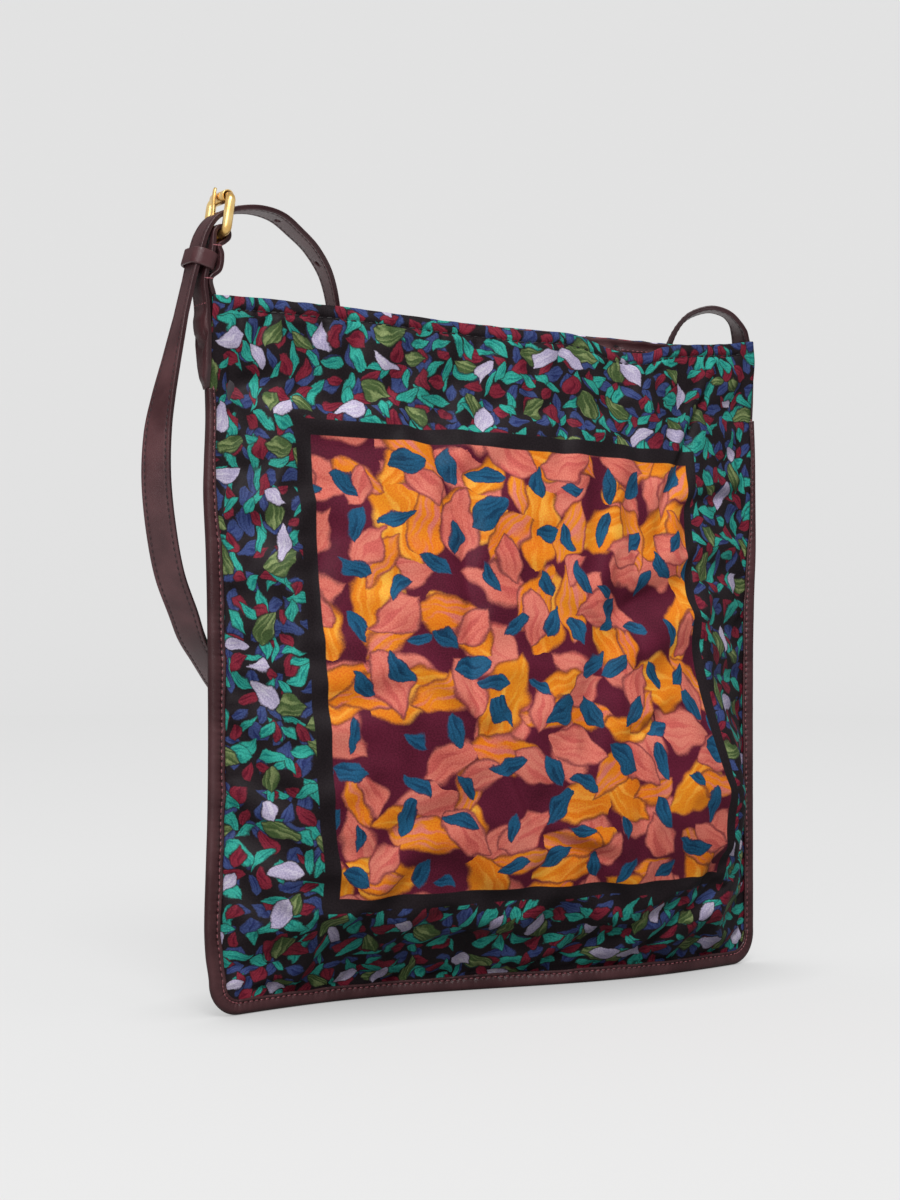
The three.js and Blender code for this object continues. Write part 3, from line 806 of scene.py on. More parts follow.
def sew_strip(bm, strip, start, end, thickness, sides):
    """Stitches along both edges of a strip, on the faces that sides names."""
    for k in range(int((end - start) / STITCH_PITCH)):
        centre, tangent, across, normal, width = strip_at(strip, start + (k + 0.5) * STITCH_PITCH)
        reach = (0.5 - STITCH_INSET / STRAP_WIDTH) * width
        for edge in (-1, 1):
            for side in sides:
                out = normal * side
                place = centre + across * edge * reach + out * STRAP_STITCH_RISE * thickness / 2
                sew(bm, place, tangent, out, width=STRAP_STITCH_WIDTH)


# Rings: the buckle's frame, its roller and the keeper

def rounded_rectangle(width, height, radius, steps):
    """A closed outline from its +X, +Y corner round: places and outward directions."""
    places = []
    outwards = []
    corners = [(1, 1, 0), (-1, 1, 90), (-1, -1, 180), (1, -1, 270)]
    for side_x, side_y, start in corners:
        for k in range(steps + 1):
            turn = math.radians(start + 90 * k / steps)
            outward = np.array([math.cos(turn), math.sin(turn)])
            corner = np.array([side_x * (width / 2 - radius), side_y * (height / 2 - radius)])
            places.append(corner + radius * outward)
            outwards.append(outward)
    return np.array(places), np.array(outwards)


def circle(radius, steps):
    turn = np.arange(steps) * 2 * np.pi / steps
    outward = np.stack([np.cos(turn), np.sin(turn)], axis=1)
    return outward * radius, outward


def sweep_ring(path, outward, profile, to_frame, girth=None):
    """A closed ring: the profile (outward, along the axis) swept round a closed path."""
    girth = np.ones(len(path)) if girth is None else girth
    around = len(path)
    section = len(profile)
    bm, share = flat_grid(around, section)
    i, j = counted(share, around, section)
    i = i % around
    j = j % section
    flat = path[i] + outward[i] * profile[j, :1] * girth[i][:, None]
    for vert, point, rise in zip(bm.verts, flat, profile[j, 1] * girth[i]):
        vert.co = to_frame(point[0], point[1], rise) * MM
    close_ends(bm)
    return bm


def tilted(x, z, tilt):
    """Takes places in a frame turned about Y to the bag's frame."""
    return Matrix.Translation((x, 0, z)) @ Matrix.Rotation(math.radians(tilt), 4, "Y")


in_buckle = tilted(BUCKLE_X, BUCKLE_Z, BUCKLE_TILT)
in_keeper = tilted(KEEPER_X, KEEPER_Z, KEEPER_TILT)


# Materials

class Finish:
    """A material and short names for adding its nodes."""

    def __init__(self, name):
        self.material = bpy.data.materials.new(name)
        self.material.use_nodes = True
        self.tree = self.material.node_tree
        self.shader = self.tree.nodes["Principled BSDF"]

    def feed(self, socket, value):
        if isinstance(value, bpy.types.NodeSocket):
            self.tree.links.new(value, socket)
        else:
            socket.default_value = value

    def add(self, kind, inputs, **settings):
        node = self.tree.nodes.new(kind)
        for name, value in settings.items():
            setattr(node, name, value)
        for name, value in inputs.items():
            self.feed(node.inputs[name], value)
        return node

    def set(self, **sockets):
        for name, value in sockets.items():
            self.feed(self.shader.inputs[name.replace("_", " ")], value)

    def math(self, operation, a, b=0.0):
        return self.add("ShaderNodeMath", {0: a, 1: b}, operation=operation).outputs[0]

    def multiply_add(self, a, b, c):
        inputs = {0: a, 1: b, 2: c}
        return self.add("ShaderNodeMath", inputs, operation="MULTIPLY_ADD").outputs[0]

    def vector(self, operation, a, b):
        return self.add("ShaderNodeVectorMath", {0: a, 1: b}, operation=operation).outputs[0]

    def between(self, value, low, high):
        """0 below low, 1 above high, and smooth between them."""
        inputs = {"Value": value, "From Min": low, "From Max": high}
        node = self.add("ShaderNodeMapRange", inputs, interpolation_type="SMOOTHSTEP")
        return node.outputs["Result"]

    def spread(self, value, low, high):
        """Takes a value from 0 to 1 evenly to one from low to high."""
        return self.multiply_add(value, high - low, low)

    def mix(self, share, first, second, blend="MIX"):
        node = self.add("ShaderNodeMix", {0: share}, data_type="RGBA", blend_type=blend)
        self.feed(node.inputs[6], first)
        self.feed(node.inputs[7], second)
        return node.outputs[2]

    def noise(self, place, scale, detail, dimensions="3D", output="Fac"):
        inputs = {"Vector": place, "Scale": scale, "Detail": detail}
        node = self.add("ShaderNodeTexNoise", inputs, noise_dimensions=dimensions)
        return node.outputs[output]

    def bump(self, height, strength, distance):
        inputs = {"Height": height, "Strength": strength, "Distance": distance * MM}
        return self.add("ShaderNodeBump", inputs).outputs[0]

    def object_place(self):
        return self.add("ShaderNodeTexCoord", {}).outputs["Object"]


def colour(red, green, blue):
    """A colour stated as it looks on a screen, from 0 to 255."""
    def linear(part):
        part = part / 255
        return part / 12.92 if part <= 0.04045 else ((part + 0.055) / 1.055) ** 2.4

    return (linear(red), linear(green), linear(blue), 1)


LEATHER_DARK = colour(64, 36, 39)
LEATHER_LIGHT = colour(86, 53, 56)
# The edge paint's dark colour also paints shade into the strap's stitch groove and the binding's
# needle holes: painted shade.
EDGE_PAINT_AND_SHADE = colour(36, 17, 20)
EDGE_PAINT_AND_SHADE_COVER = 0.75
BRASS_BRIGHT = colour(244, 212, 146)
BRASS_AGED = colour(214, 170, 96)
REVERSE_DARK = colour(30, 26, 30)
REVERSE_LIGHT = colour(52, 44, 50)


def leather_finish():
    finish = Finish("burgundy_leather")
    place = finish.object_place()
    inputs = {"Vector": place, "Scale": 1400}
    grain = finish.add("ShaderNodeTexVoronoi", inputs, feature="DISTANCE_TO_EDGE")
    grain = finish.between(grain.outputs["Distance"], low=0, high=0.25)
    pore = finish.noise(place, scale=500, detail=3)
    cloud = finish.noise(place, scale=45, detail=3)
    # Edge paint, and painted shade in stitch grooves and needle holes
    paint = finish.add("ShaderNodeAttribute", {}, attribute_name="edge_paint_and_painted_shade").outputs["Fac"]
    tone = finish.mix(finish.between(cloud, low=0.3, high=0.72), LEATHER_DARK, LEATHER_LIGHT)
    tone = finish.mix(finish.math("MULTIPLY", paint, EDGE_PAINT_AND_SHADE_COVER), tone, EDGE_PAINT_AND_SHADE)
    height = finish.math("ADD", grain, pore)
    height = finish.math("MULTIPLY", height, finish.spread(paint, 1, 1 - EDGE_PAINT_AND_SHADE_COVER))
    finish.set(
        Base_Color=tone,
        Roughness=finish.spread(cloud, low=0.2, high=0.5),
        Specular_IOR_Level=0.4,
        Normal=finish.bump(height, strength=0.35, distance=0.12),
    )
    return finish.material


def brass_finish():
    finish = Finish("antique_brass")
    place = finish.object_place()
    cloud = finish.noise(place, scale=140, detail=4)
    speck = finish.noise(place, scale=900, detail=2)
    finish.set(
        Base_Color=finish.mix(finish.between(cloud, low=0.35, high=0.7), BRASS_BRIGHT, BRASS_AGED),
        Roughness=finish.spread(cloud, low=0.16, high=0.46),
        Metallic=1.0,
        Normal=finish.bump(speck, strength=0.1, distance=0.05),
    )
    return finish.material


def thread_finish(name, light, dark):
    finish = Finish(name)
    twist = finish.noise(finish.object_place(), scale=2200, detail=2)
    finish.set(
        Base_Color=finish.mix(finish.between(twist, low=0.35, high=0.65), dark, light),
        Roughness=0.6,
        Normal=finish.bump(twist, strength=0.3, distance=0.1),
    )
    return finish.material


# The print: colours and scattered leaves, one layer over another

INK = colour(37, 31, 34)
GROUND = colour(92, 28, 48)
ORANGE = colour(232, 132, 30)
SALMON = colour(222, 122, 106)
PETROL = colour(34, 88, 122)
TEAL = colour(54, 164, 148)
BLUE = colour(62, 76, 124)
CRIMSON = colour(130, 40, 56)
LILAC = colour(180, 170, 198)
OLIVE = colour(72, 92, 54)
MOSS = colour(132, 146, 96)
ROSE = colour(204, 96, 88)
AMBER = colour(246, 168, 62)
DEEP_PETROL = colour(24, 62, 92)
DEEP_BLUE = colour(40, 50, 98)
DEEP_CRIMSON = colour(98, 24, 42)
DEEP_TEAL = colour(28, 122, 116)
PALE_LILAC = colour(200, 192, 212)

# The dark printed frame's edges on the flat cloth. Its top runs down to the right.
Frame = namedtuple("Frame", "left right bottom top")
FRAME_OUTSIDE = Frame(-124, 123, 61, 306)
FRAME_WITHIN = Frame(-115.5, 117, 68.5, 298)
FRAME_TOP_SLOPE = -0.027
FRAME_SOFT = 0.3
# Where on the roll of cloth the back is cut, so that its print doesn't mirror the front's
BACK_CUT = (610, 340, 0)

# Leaves of one layer: cell, half length and half width, rim of bare ground, softness of the
# edge, seed, ink and the tone of its streaks
Scatter = namedtuple("Scatter", "cell length width rim soft seed ink streak")
CENTRE_LEAVES = [
    Scatter(42, 23, 11.5, 0.5, 1.7, 11, SALMON, ROSE),
    Scatter(44, 25, 11.5, 0.5, 1.7, 37, ORANGE, AMBER),
    Scatter(40, 19, 8.5, 0.5, 1.5, 53, ORANGE, SALMON),
    Scatter(38, 16, 8.5, 0.5, 1.5, 71, SALMON, ROSE),
    Scatter(25, 10, 4.8, 0, 0.6, 97, PETROL, DEEP_PETROL),
]
BORDER_LEAVES = [
    Scatter(12.6, 6.4, 3.5, 0.7, 0.5, 13, BLUE, DEEP_BLUE),
    Scatter(18, 9, 2.5, 0.5, 0.5, 43, TEAL, DEEP_TEAL),
    Scatter(15, 5.6, 3.3, 0.7, 0.5, 29, CRIMSON, DEEP_CRIMSON),
    Scatter(18, 6.5, 2.9, 0.6, 0.5, 61, TEAL, DEEP_TEAL),
    Scatter(31, 8.5, 4.8, 1, 0.5, 89, OLIVE, MOSS),
    Scatter(37, 8, 4.2, 0.8, 0.5, 107, LILAC, PALE_LILAC),
]

# What all the leaves share: how far a seed moves the layer, how far they stray from a plain grid,
# their least and greatest size, their bend, and how long and how close their streaks are
SEED_SHIFT = Vector((7.3, 3.1, 0))
LEAF_STRAY = 0.62
LEAF_SIZES = (0.68, 1.18)
LEAF_BEND = 0.45
STREAK_LENGTH = 0.35
STREAK_CLOSE = 2.2


def scatter_leaves(finish, place, ground, under, leaves):
    """One layer of leaves over what is under it, each with a rim of the ground's colour."""
    moved = finish.vector("ADD", place, leaves.seed * SEED_SHIFT)
    inputs = {"Vector": moved, "Scale": 1 / leaves.cell, "Randomness": LEAF_STRAY}
    spots = finish.add("ShaderNodeTexVoronoi", inputs, voronoi_dimensions="2D").outputs
    chance = finish.add("ShaderNodeSeparateColor", {"Color": spots["Color"]}).outputs
    local = finish.vector("SUBTRACT", moved, spots["Position"])
    angle = finish.math("MULTIPLY", chance[0], 2 * math.pi)
    inputs = {"Vector": local, "Angle": angle}
    turned = finish.add("ShaderNodeVectorRotate", inputs, rotation_type="Z_AXIS").outputs[0]
    axes = finish.add("ShaderNodeSeparateXYZ", {"Vector": turned}).outputs
    size = finish.spread(chance[1], *LEAF_SIZES)
    along = finish.math("DIVIDE", axes[0], finish.math("MULTIPLY", size, leaves.length))
    along_square = finish.math("MULTIPLY", along, along)
    bend = finish.spread(chance[2], -LEAF_BEND * leaves.width, LEAF_BEND * leaves.width)
    middle = finish.math("MULTIPLY", along_square, bend)
    beside = finish.math("ABSOLUTE", finish.math("SUBTRACT", axes[1], middle))
    bulge = finish.math("SUBTRACT", 1.0, along_square)
    half = finish.math("MULTIPLY", finish.math("MULTIPLY", size, leaves.width), bulge)
    inside = finish.math("SUBTRACT", half, beside)
    under = finish.mix(finish.between(inside, -leaves.rim - leaves.soft, 0.0), under, ground)
    mask = finish.between(inside, -leaves.soft, leaves.soft)
    stroke = (STREAK_LENGTH / leaves.width, STREAK_CLOSE / leaves.width, 1)
    brush = finish.vector("MULTIPLY", turned, stroke)
    streak = finish.noise(brush, scale=1, detail=1, dimensions="2D")
    ink = finish.mix(finish.between(streak, low=0.45, high=0.68), leaves.ink, leaves.streak)
    return finish.mix(mask, under, ink)


def in_frame(finish, axes, edges):
    """1 inside the frame's edges on the flat cloth, 0 outside."""
    aside = finish.math("MAXIMUM", finish.math("SUBTRACT", edges.left, axes[0]),
                        finish.math("SUBTRACT", axes[0], edges.right))
    top = finish.multiply_add(axes[0], FRAME_TOP_SLOPE, edges.top)
    over = finish.math("MAXIMUM", finish.math("SUBTRACT", edges.bottom, axes[1]),
                       finish.math("SUBTRACT", axes[1], top))
    return finish.between(finish.math("MAXIMUM", aside, over), FRAME_SOFT, -FRAME_SOFT)


def strayed(finish, place, scale, detail, reach):
    """Random shifts over the flat cloth, up to half of reach each way."""
    shift = finish.noise(place, scale, detail, "2D", "Color")
    shift = finish.vector("SUBTRACT", shift, (0.5, 0.5, 0.5))
    return finish.vector("MULTIPLY", shift, (reach, reach, 0))


# Grain and painted sheen on the print: how strong they are, and their shares of fine specks of grain
# and of wide patches of painted sheen
GRAIN_AND_SHEEN = 0.36
SPECK_SHARE = 0.55
PAINTED_SHEEN_SHARE = 0.45


def cloth_finish(name, framed):
    finish = Finish(name)
    flat = finish.add("ShaderNodeUVMap", {}, uv_map="FlatCut").outputs[0]
    place = finish.vector("SCALE", flat, (0, 0, 0))
    place.node.inputs["Scale"].default_value = 1 / MM
    axes = finish.add("ShaderNodeSeparateXYZ", {"Vector": place}).outputs
    drift = strayed(finish, place, scale=0.07, detail=1, reach=9)
    bleed = strayed(finish, place, scale=0.8, detail=2, reach=0.9)
    wavy = finish.vector("ADD", finish.vector("ADD", place, drift), bleed)
    if not framed:
        wavy = finish.vector("ADD", wavy, BACK_CUT)
    tone = INK
    for leaves in BORDER_LEAVES:
        tone = scatter_leaves(finish, wavy, INK, tone, leaves)
    if framed:
        centre = GROUND
        for leaves in CENTRE_LEAVES:
            centre = scatter_leaves(finish, wavy, GROUND, centre, leaves)
        tone = finish.mix(in_frame(finish, axes, FRAME_OUTSIDE), tone, INK)
        tone = finish.mix(in_frame(finish, axes, FRAME_WITHIN), tone, centre)
    speck = finish.noise(place, scale=1.2, detail=3, dimensions="2D")
    # Wide patches, lighter and darker, stand for the satin's sheen: painted sheen.
    painted_sheen = finish.noise(place, scale=0.03, detail=2, dimensions="2D")
    speck = finish.between(speck, low=0.3, high=0.7)
    painted_sheen = finish.math("MULTIPLY", finish.between(painted_sheen, low=0.3, high=0.7), PAINTED_SHEEN_SHARE)
    # Fine specks of grain, with wide patches of painted sheen.
    grain_and_painted_sheen = finish.multiply_add(speck, SPECK_SHARE, painted_sheen)
    grain_and_painted_sheen = finish.mix(grain_and_painted_sheen, colour(0, 0, 0), colour(255, 255, 255))
    weave = finish.noise(place, scale=1.3, detail=3, dimensions="2D")
    finish.set(
        Base_Color=finish.mix(GRAIN_AND_SHEEN, tone, grain_and_painted_sheen, "OVERLAY"),
        Roughness=0.52,
        Specular_IOR_Level=0.1,
        Normal=finish.bump(weave, strength=0.16, distance=0.1),
    )
    return finish.material


def reverse_finish():
    finish = Finish("cloth_reverse")
    flat = finish.add("ShaderNodeUVMap", {}, uv_map="FlatCut").outputs[0]
    weave = finish.noise(flat, scale=2200, detail=2, dimensions="2D")
    finish.set(
        Base_Color=finish.mix(weave, REVERSE_DARK, REVERSE_LIGHT),
        Roughness=0.8,
        Normal=finish.bump(weave, strength=0.2, distance=0.1),
    )
    return finish.material


leather = leather_finish()
brass = brass_finish()
leather_thread = thread_finish("leather_thread", colour(170, 104, 110), colour(96, 44, 52))
# The strap's thread is painted much darker than the leather thread: painted shade of its sunk
# stitches.
strap_thread_painted_shade = thread_finish("strap_thread_painted_shade", colour(52, 24, 30), colour(26, 11, 15))
hem_thread = thread_finish("hem_thread", colour(40, 34, 38), colour(18, 15, 18))
front_print = cloth_finish("framed_print", True)
back_print = cloth_finish("all_over_print", False)
cloth_reverse = reverse_finish()


# The cloth panels, with the hem turned over to the inside

PANEL_COLUMNS = 200
# Grid rows from the bottom edge: up to below the hem, up to its fold, round it and down inside
HEM_ROWS = [0, 188, 202, 208, 211]
FINE_ROWS_HEIGHT = 12
HEM_TURNED = FLAT_HEIGHT + math.pi * HEM_FOLD_RADIUS
HEM_LENGTHS = [0, FLAT_HEIGHT - FINE_ROWS_HEIGHT, FLAT_HEIGHT, HEM_TURNED, HEM_TURNED + HEM_TURN]


def cloth_panel(name, panel, print_material, node):
    def flat_places(s, t):
        across = -panel.face * (s - 0.5) * FLAT_WIDTH
        return across, np.interp(t * HEM_ROWS[-1], HEM_ROWS, HEM_LENGTHS)

    def place(s, t):
        across, run = flat_places(s, t)
        up = np.minimum(run, FLAT_HEIGHT)
        points = panel.surface(across, up)
        over = np.clip((run - FLAT_HEIGHT) / HEM_FOLD_RADIUS, 0, np.pi)
        down = np.maximum(run - HEM_TURNED, 0)
        inward = -panel.outward(across, up)
        inward[:, 2] = 0
        inward = unit(inward)
        points = points + inward * (HEM_FOLD_RADIUS * (1 - np.cos(over)))[:, None]
        points[:, 2] += HEM_FOLD_RADIUS * np.sin(over) - down
        return points

    bm, share = bent_grid(PANEL_COLUMNS, HEM_ROWS[-1], place)
    across, run = flat_places(share[:, 0], share[:, 1])
    flat = bm.loops.layers.uv.new("FlatCut")
    for bm_face in bm.faces:
        for loop in bm_face.loops:
            i = loop.vert.index
            loop[flat].uv = (across[i] * MM, run[i] * MM)
    piece = add_piece(name, bm, "printed_cloth", print_material, cloth_reverse, replaced=[node])
    return thicken(piece, CLOTH, inner_material=1)


front_cloth = cloth_panel("front_cloth", front, front_print, "front_panel")
back_cloth = cloth_panel("back_cloth", back, back_print, "back_panel")


def hem_stitches(name, panel):
    """Dashes of thread along the hem, on the outside."""
    bm = bmesh.new()
    reach = FLAT_WIDTH / 2 - BINDING_DEPTH - HEM_STITCH_END
    across = np.arange(-reach, reach, HEM_STITCH_PITCH)
    up = np.full_like(across, FLAT_HEIGHT - HEM_STITCH_DROP)
    places = panel.off(across, up, CLOTH / 2 + HEM_STITCH_RISE)
    outward = panel.outward(across, up)
    along = panel.surface(across + 1, up) - panel.surface(across - 1, up)
    for place, direction, out in zip(places, along, outward):
        sew(bm, place, direction, out, length=HEM_STITCH_LENGTH, width=HEM_STITCH_WIDTH)
    return add_piece(name, bm, "printed_cloth", hem_thread)


front_hem = hem_stitches("front_hem_stitches", front)
back_hem = hem_stitches("back_hem_stitches", back)


# The leather facings inside the mouth

def facing(name, panel, node):
    def place(s, t):
        across = panel.face * (s - 0.5) * 2 * FACING_HALF_WIDTH
        up = FLAT_HEIGHT - FACING_HEIGHT * (1 - t)
        from_stitch = FLAT_HEIGHT - up - FACING_STITCH_DROP
        inside = FACING_OFFSET + FACING_GROOVE * bell(from_stitch / FACING_GROOVE_WIDTH)
        return panel.off(across, up, -inside, FACING_STEP)

    bm, share = bent_grid(FACING_COLUMNS, FACING_ROWS, place)
    piece = add_piece(name, bm, "leather", leather, replaced=[node])
    return thicken(piece, FACING)


def facing_stitches(name, panel):
    bm = bmesh.new()
    reach = FACING_HALF_WIDTH - FACING_STITCH_END
    across = np.arange(-reach, reach, STITCH_PITCH)
    up = np.full_like(across, FLAT_HEIGHT - FACING_STITCH_DROP)
    inside = FACING_OFFSET + FACING / 2 + FACING_STITCH_RISE
    places = panel.off(across, up, -inside, FACING_STEP)
    for place, direction in zip(places, np.gradient(places, axis=0)):
        sew(bm, place, direction, (0, -panel.face, 0))
    return add_piece(name, bm, "leather", leather_thread)


facing("front_facing", front, "facing_front")
facing("back_facing", back, "facing_back")
facing_stitches("front_facing_stitches", front)
facing_stitches("back_facing_stitches", back)


# The binding: a folded strip of leather round three edges

# A quarter turn's length for each unit of radius, rounded up
QUARTER_TURN = 1.6


def binding_path(step):
    """Places along the binding's outer edge (x, z) with the direction into the bag."""
    centre = BAG_WIDTH / 2 - CORNER_RADIUS
    side_z = np.arange(BINDING_TOP, CORNER_RADIUS, -step)
    corner_steps = int(CORNER_RADIUS * QUARTER_TURN / step)
    corner = np.linspace(0, np.pi / 2, corner_steps, endpoint=False)
    bottom_x = np.linspace(-centre, centre, int(2 * centre / step))
    zero = np.zeros_like
    left = np.stack([-half_width(-1, side_z), side_z, zero(side_z) + 1, zero(side_z)], axis=1)
    into = np.stack([np.cos(corner), np.sin(corner)], axis=1)
    turn = np.hstack([[-centre, CORNER_RADIUS] - CORNER_RADIUS * into, into])
    bottom = np.stack([bottom_x, zero(bottom_x), zero(bottom_x), zero(bottom_x) + 1], axis=1)
    right_turn = turn[::-1] * [-1, 1, -1, 1]
    up_z = side_z[::-1]
    right = np.stack([half_width(1, up_z), up_z, zero(up_z) - 1, zero(up_z)], axis=1)
    return np.vstack([left, turn, bottom, right_turn, right])


BINDING_STITCH_DEPTH = 6.2
BINDING_STITCH_RISE = 0.04
BINDING_GROOVE = 1.78
# How many rows of its mesh each stitch takes up
BINDING_STATIONS = 4
# The folded strip's middle line: depth in from the bag's edge, and distance from the seam plane
FoldPoint = namedtuple("FoldPoint", "depth beside")
BINDING_LEG = [
    FoldPoint(8, 2.02),
    FoldPoint(7.3, 2.1),
    FoldPoint(6.6, 1.95),
    FoldPoint(BINDING_STITCH_DEPTH, BINDING_GROOVE),
    FoldPoint(5.8, 1.95),
    FoldPoint(4.9, 2.22),
    FoldPoint(3.8, 2.34),
    FoldPoint(2.8, 2.36),
]
BINDING_FOLD_STEPS = 8
BINDING_TAPER = 0.5
RIGHT_BINDING_TAPER = 0.68
BINDING_TAPER_FROM = 200
BINDING_TAPER_TO = 290
BINDING_WAVER = 0.5
BINDING_PUCKER = 0.3
# The needle holes between its stitches, and the furrows that the thread pulls in beside them
NEEDLE_HOLE = 0.3
NEEDLE_HOLE_REACH = 0.6
FURROW = 0.34
FURROW_REACH = 2.4


def binding_profile():
    leg = [(point.depth, point.beside) for point in BINDING_LEG]
    round_depth, round_beside = leg[-1]
    fold = []
    for k in range(1, BINDING_FOLD_STEPS):
        turn = math.pi * k / BINDING_FOLD_STEPS
        depth = round_depth - (round_depth - BINDING_WALL / 2) * math.sin(turn)
        fold.append((depth, round_beside * math.cos(turn)))
    return np.array(leg + fold + [(d, -b) for d, b in reversed(leg)])


def binding_point(path, depth, beside):
    narrow = smooth((path[:, 1] - BINDING_TAPER_FROM) / (BINDING_TAPER_TO - BINDING_TAPER_FROM))
    run = np.where(path[:, 3] > 0.5, path[:, 0], path[:, 1] + np.sign(path[:, 0]) * BAG_HEIGHT)
    inner = np.maximum(depth - BINDING_WALL, 0) / BINDING_DEPTH
    waver = BINDING_WAVER * wander(BINDING_EDGE, run) * inner
    taper = np.where(path[:, 0] > 0, RIGHT_BINDING_TAPER, BINDING_TAPER)
    depth = depth * (1 - taper * narrow) + waver
    pucker = BINDING_PUCKER * wander(BINDING_CRINKLE, run) * depth / BINDING_DEPTH
    beside = beside + np.sign(beside) * pucker
    x = path[:, 0] + path[:, 2] * depth
    z = path[:, 1] + path[:, 3] * depth
    return np.stack([x, sway(x, z) + beside, z], axis=1)


def edge_binding():
    path = binding_path(STITCH_PITCH / BINDING_STATIONS)
    profile = binding_profile()
    stitches = binding_path(STITCH_PITCH)
    from_stitch = np.linalg.norm(path[:, None, :2] - stitches[:, :2], axis=2).min(axis=1)
    between = smooth(2 * from_stitch / STITCH_PITCH)
    pull = 1 + wander(FURROW_PULL, np.arange(len(path)) / BINDING_STATIONS)
    bm, share = flat_grid(len(path) - 1, len(profile) - 1)
    i, j = counted(share, len(path) - 1, len(profile) - 1)
    depth, beside = profile[j].T
    hole = between[i] * bell((depth - BINDING_STITCH_DEPTH) / NEEDLE_HOLE_REACH)
    before = np.maximum(BINDING_STITCH_DEPTH - depth, 0) / FURROW_REACH
    past = np.maximum(depth - BINDING_STITCH_DEPTH, 0) / NEEDLE_HOLE_REACH
    furrow = FURROW * pull[i] * between[i] * bell(before) * bell(past)
    dent = NEEDLE_HOLE * hole + furrow * (np.abs(beside) > BINDING_WALL)
    move_corners(bm, binding_point(path[i], depth, beside - np.sign(beside) * dent))
    # The needle holes are painted dark: painted shade in them.
    paint_edges_and_shade(bm, hole)
    bmesh.ops.recalc_face_normals(bm, faces=bm.faces)
    piece = add_piece("binding", bm, "leather", leather, replaced=["edge_binding"])
    return thicken(piece, BINDING_WALL)


def binding_stitches():
    path = binding_path(STITCH_PITCH)
    bm = bmesh.new()
    half = BINDING_GROOVE + BINDING_WALL / 2 + BINDING_STITCH_RISE
    for side in (-1, 1):
        places = binding_point(path, np.full(len(path), BINDING_STITCH_DEPTH), side * half)
        along = np.gradient(places, axis=0)
        for place, direction in zip(places, along):
            sew(bm, place, direction, (0, side, 0))
    return add_piece("binding_stitches", bm, "leather", leather_thread)


binding = edge_binding()
binding_thread = binding_stitches()


# The strap, with its holes and stitches

def cut_away(piece, cutters):
    """Cuts the cutters' shape out of a piece."""
    mesh = finished_mesh("cutters", cutters)
    tool = set_out("cutters", mesh)
    boolean = piece.modifiers.new("cut", "BOOLEAN")
    boolean.operation = "DIFFERENCE"
    boolean.solver = "EXACT"
    boolean.object = tool
    graph = bpy.context.evaluated_depsgraph_get()
    whole = piece.data
    piece.data = bpy.data.meshes.new_from_object(piece.evaluated_get(graph))
    piece.data.name = whole.name
    piece.modifiers.clear()
    bpy.data.objects.remove(tool)
    bpy.data.meshes.remove(mesh)
    bpy.data.meshes.remove(whole)


def punch(bm, place, direction, radius, depth):
    """One round cutter through a strip."""
    turn = Vector((0, 0, 1)).rotation_difference(Vector(direction)).to_matrix().to_4x4()
    radius = radius * MM
    bmesh.ops.create_cone(
        bm,
        cap_ends=True,
        segments=20,
        radius1=radius,
        radius2=radius,
        depth=depth * MM,
        matrix=Matrix.Translation(Vector(place) * MM) @ turn,
    )


strap_strip = make_strip(leaf_stops(1, STRAP) + STRAP_RUN, STRAP_STEPS)
prong_station = np.argmin(np.linalg.norm(strap_strip.centre - PRONG_HOLE, axis=1))
prong_length = strap_strip.length[prong_station]


def strap():
    bm = sweep_strip(strap_strip, STRAP, band_profile())
    piece = add_piece("strap_leather", bm, "leather", leather, replaced=["strap"])
    holes = bmesh.new()
    for k in range(HOLES):
        centre, tangent, across, normal, width = strip_at(strap_strip, prong_length - k * HOLE_SPACING)
        punch(holes, centre, normal, HOLE_RADIUS + PRONG_HOLE_SPARE * (k == 0), 3 * STRAP)
    cut_away(piece, holes)
    return piece


def strap_stitches():
    bm = bmesh.new()
    end = strap_strip.length[-1] - STRAP_SEWN_SHORT_OF_TIP
    sew_strip(bm, strap_strip, STRAP_SEWN_FROM, end, STRAP, (-1, 1))
    return add_piece("strap_stitches", bm, "leather", strap_thread_painted_shade)


strap()
strap_stitches()


# The tab, its loop round the buckle's bar, and the keeper

def round_bar(radius, angles):
    """Places (x, z) round the middle of the buckle's bar, at these angles in degrees."""
    turns = [math.radians(angle) for angle in angles]
    return [(radius * math.cos(turn), radius * math.sin(turn)) for turn in turns]


def tab_stops():
    loop = round_bar(BAR_BORE + CLEARANCE + TAB / 2, TAB_ROUND_BAR)
    loop = [Stop(BUCKLE_X + x, 0, BUCKLE_Z + z) for x, z in loop]
    return leaf_stops(-1, TAB) + TAB_UP + loop + TAB_DOWN


TAB_SEWN = 50
TAB_SEAM_Z = 346
TAB_STITCH_SPACING = 2.9
TAB_SLOT = 11
TAB_STEPS = 14
# The sewn leaf's crease and the lobes above and below it
LEAF_CREASE = 324
LEAF_CREASE_POINT = 9
LEAF_CREASE_CURVE = 1.5
LEAF_SOFT = 5
LEAF_FOOT = 306
LEAF_HEAD = 338
LEAF_HEAD_SOFT = 6
UPPER_LOBE = 2.4
LOWER_LOBE = 1.7
tab_strip = make_strip(tab_stops(), TAB_STEPS)


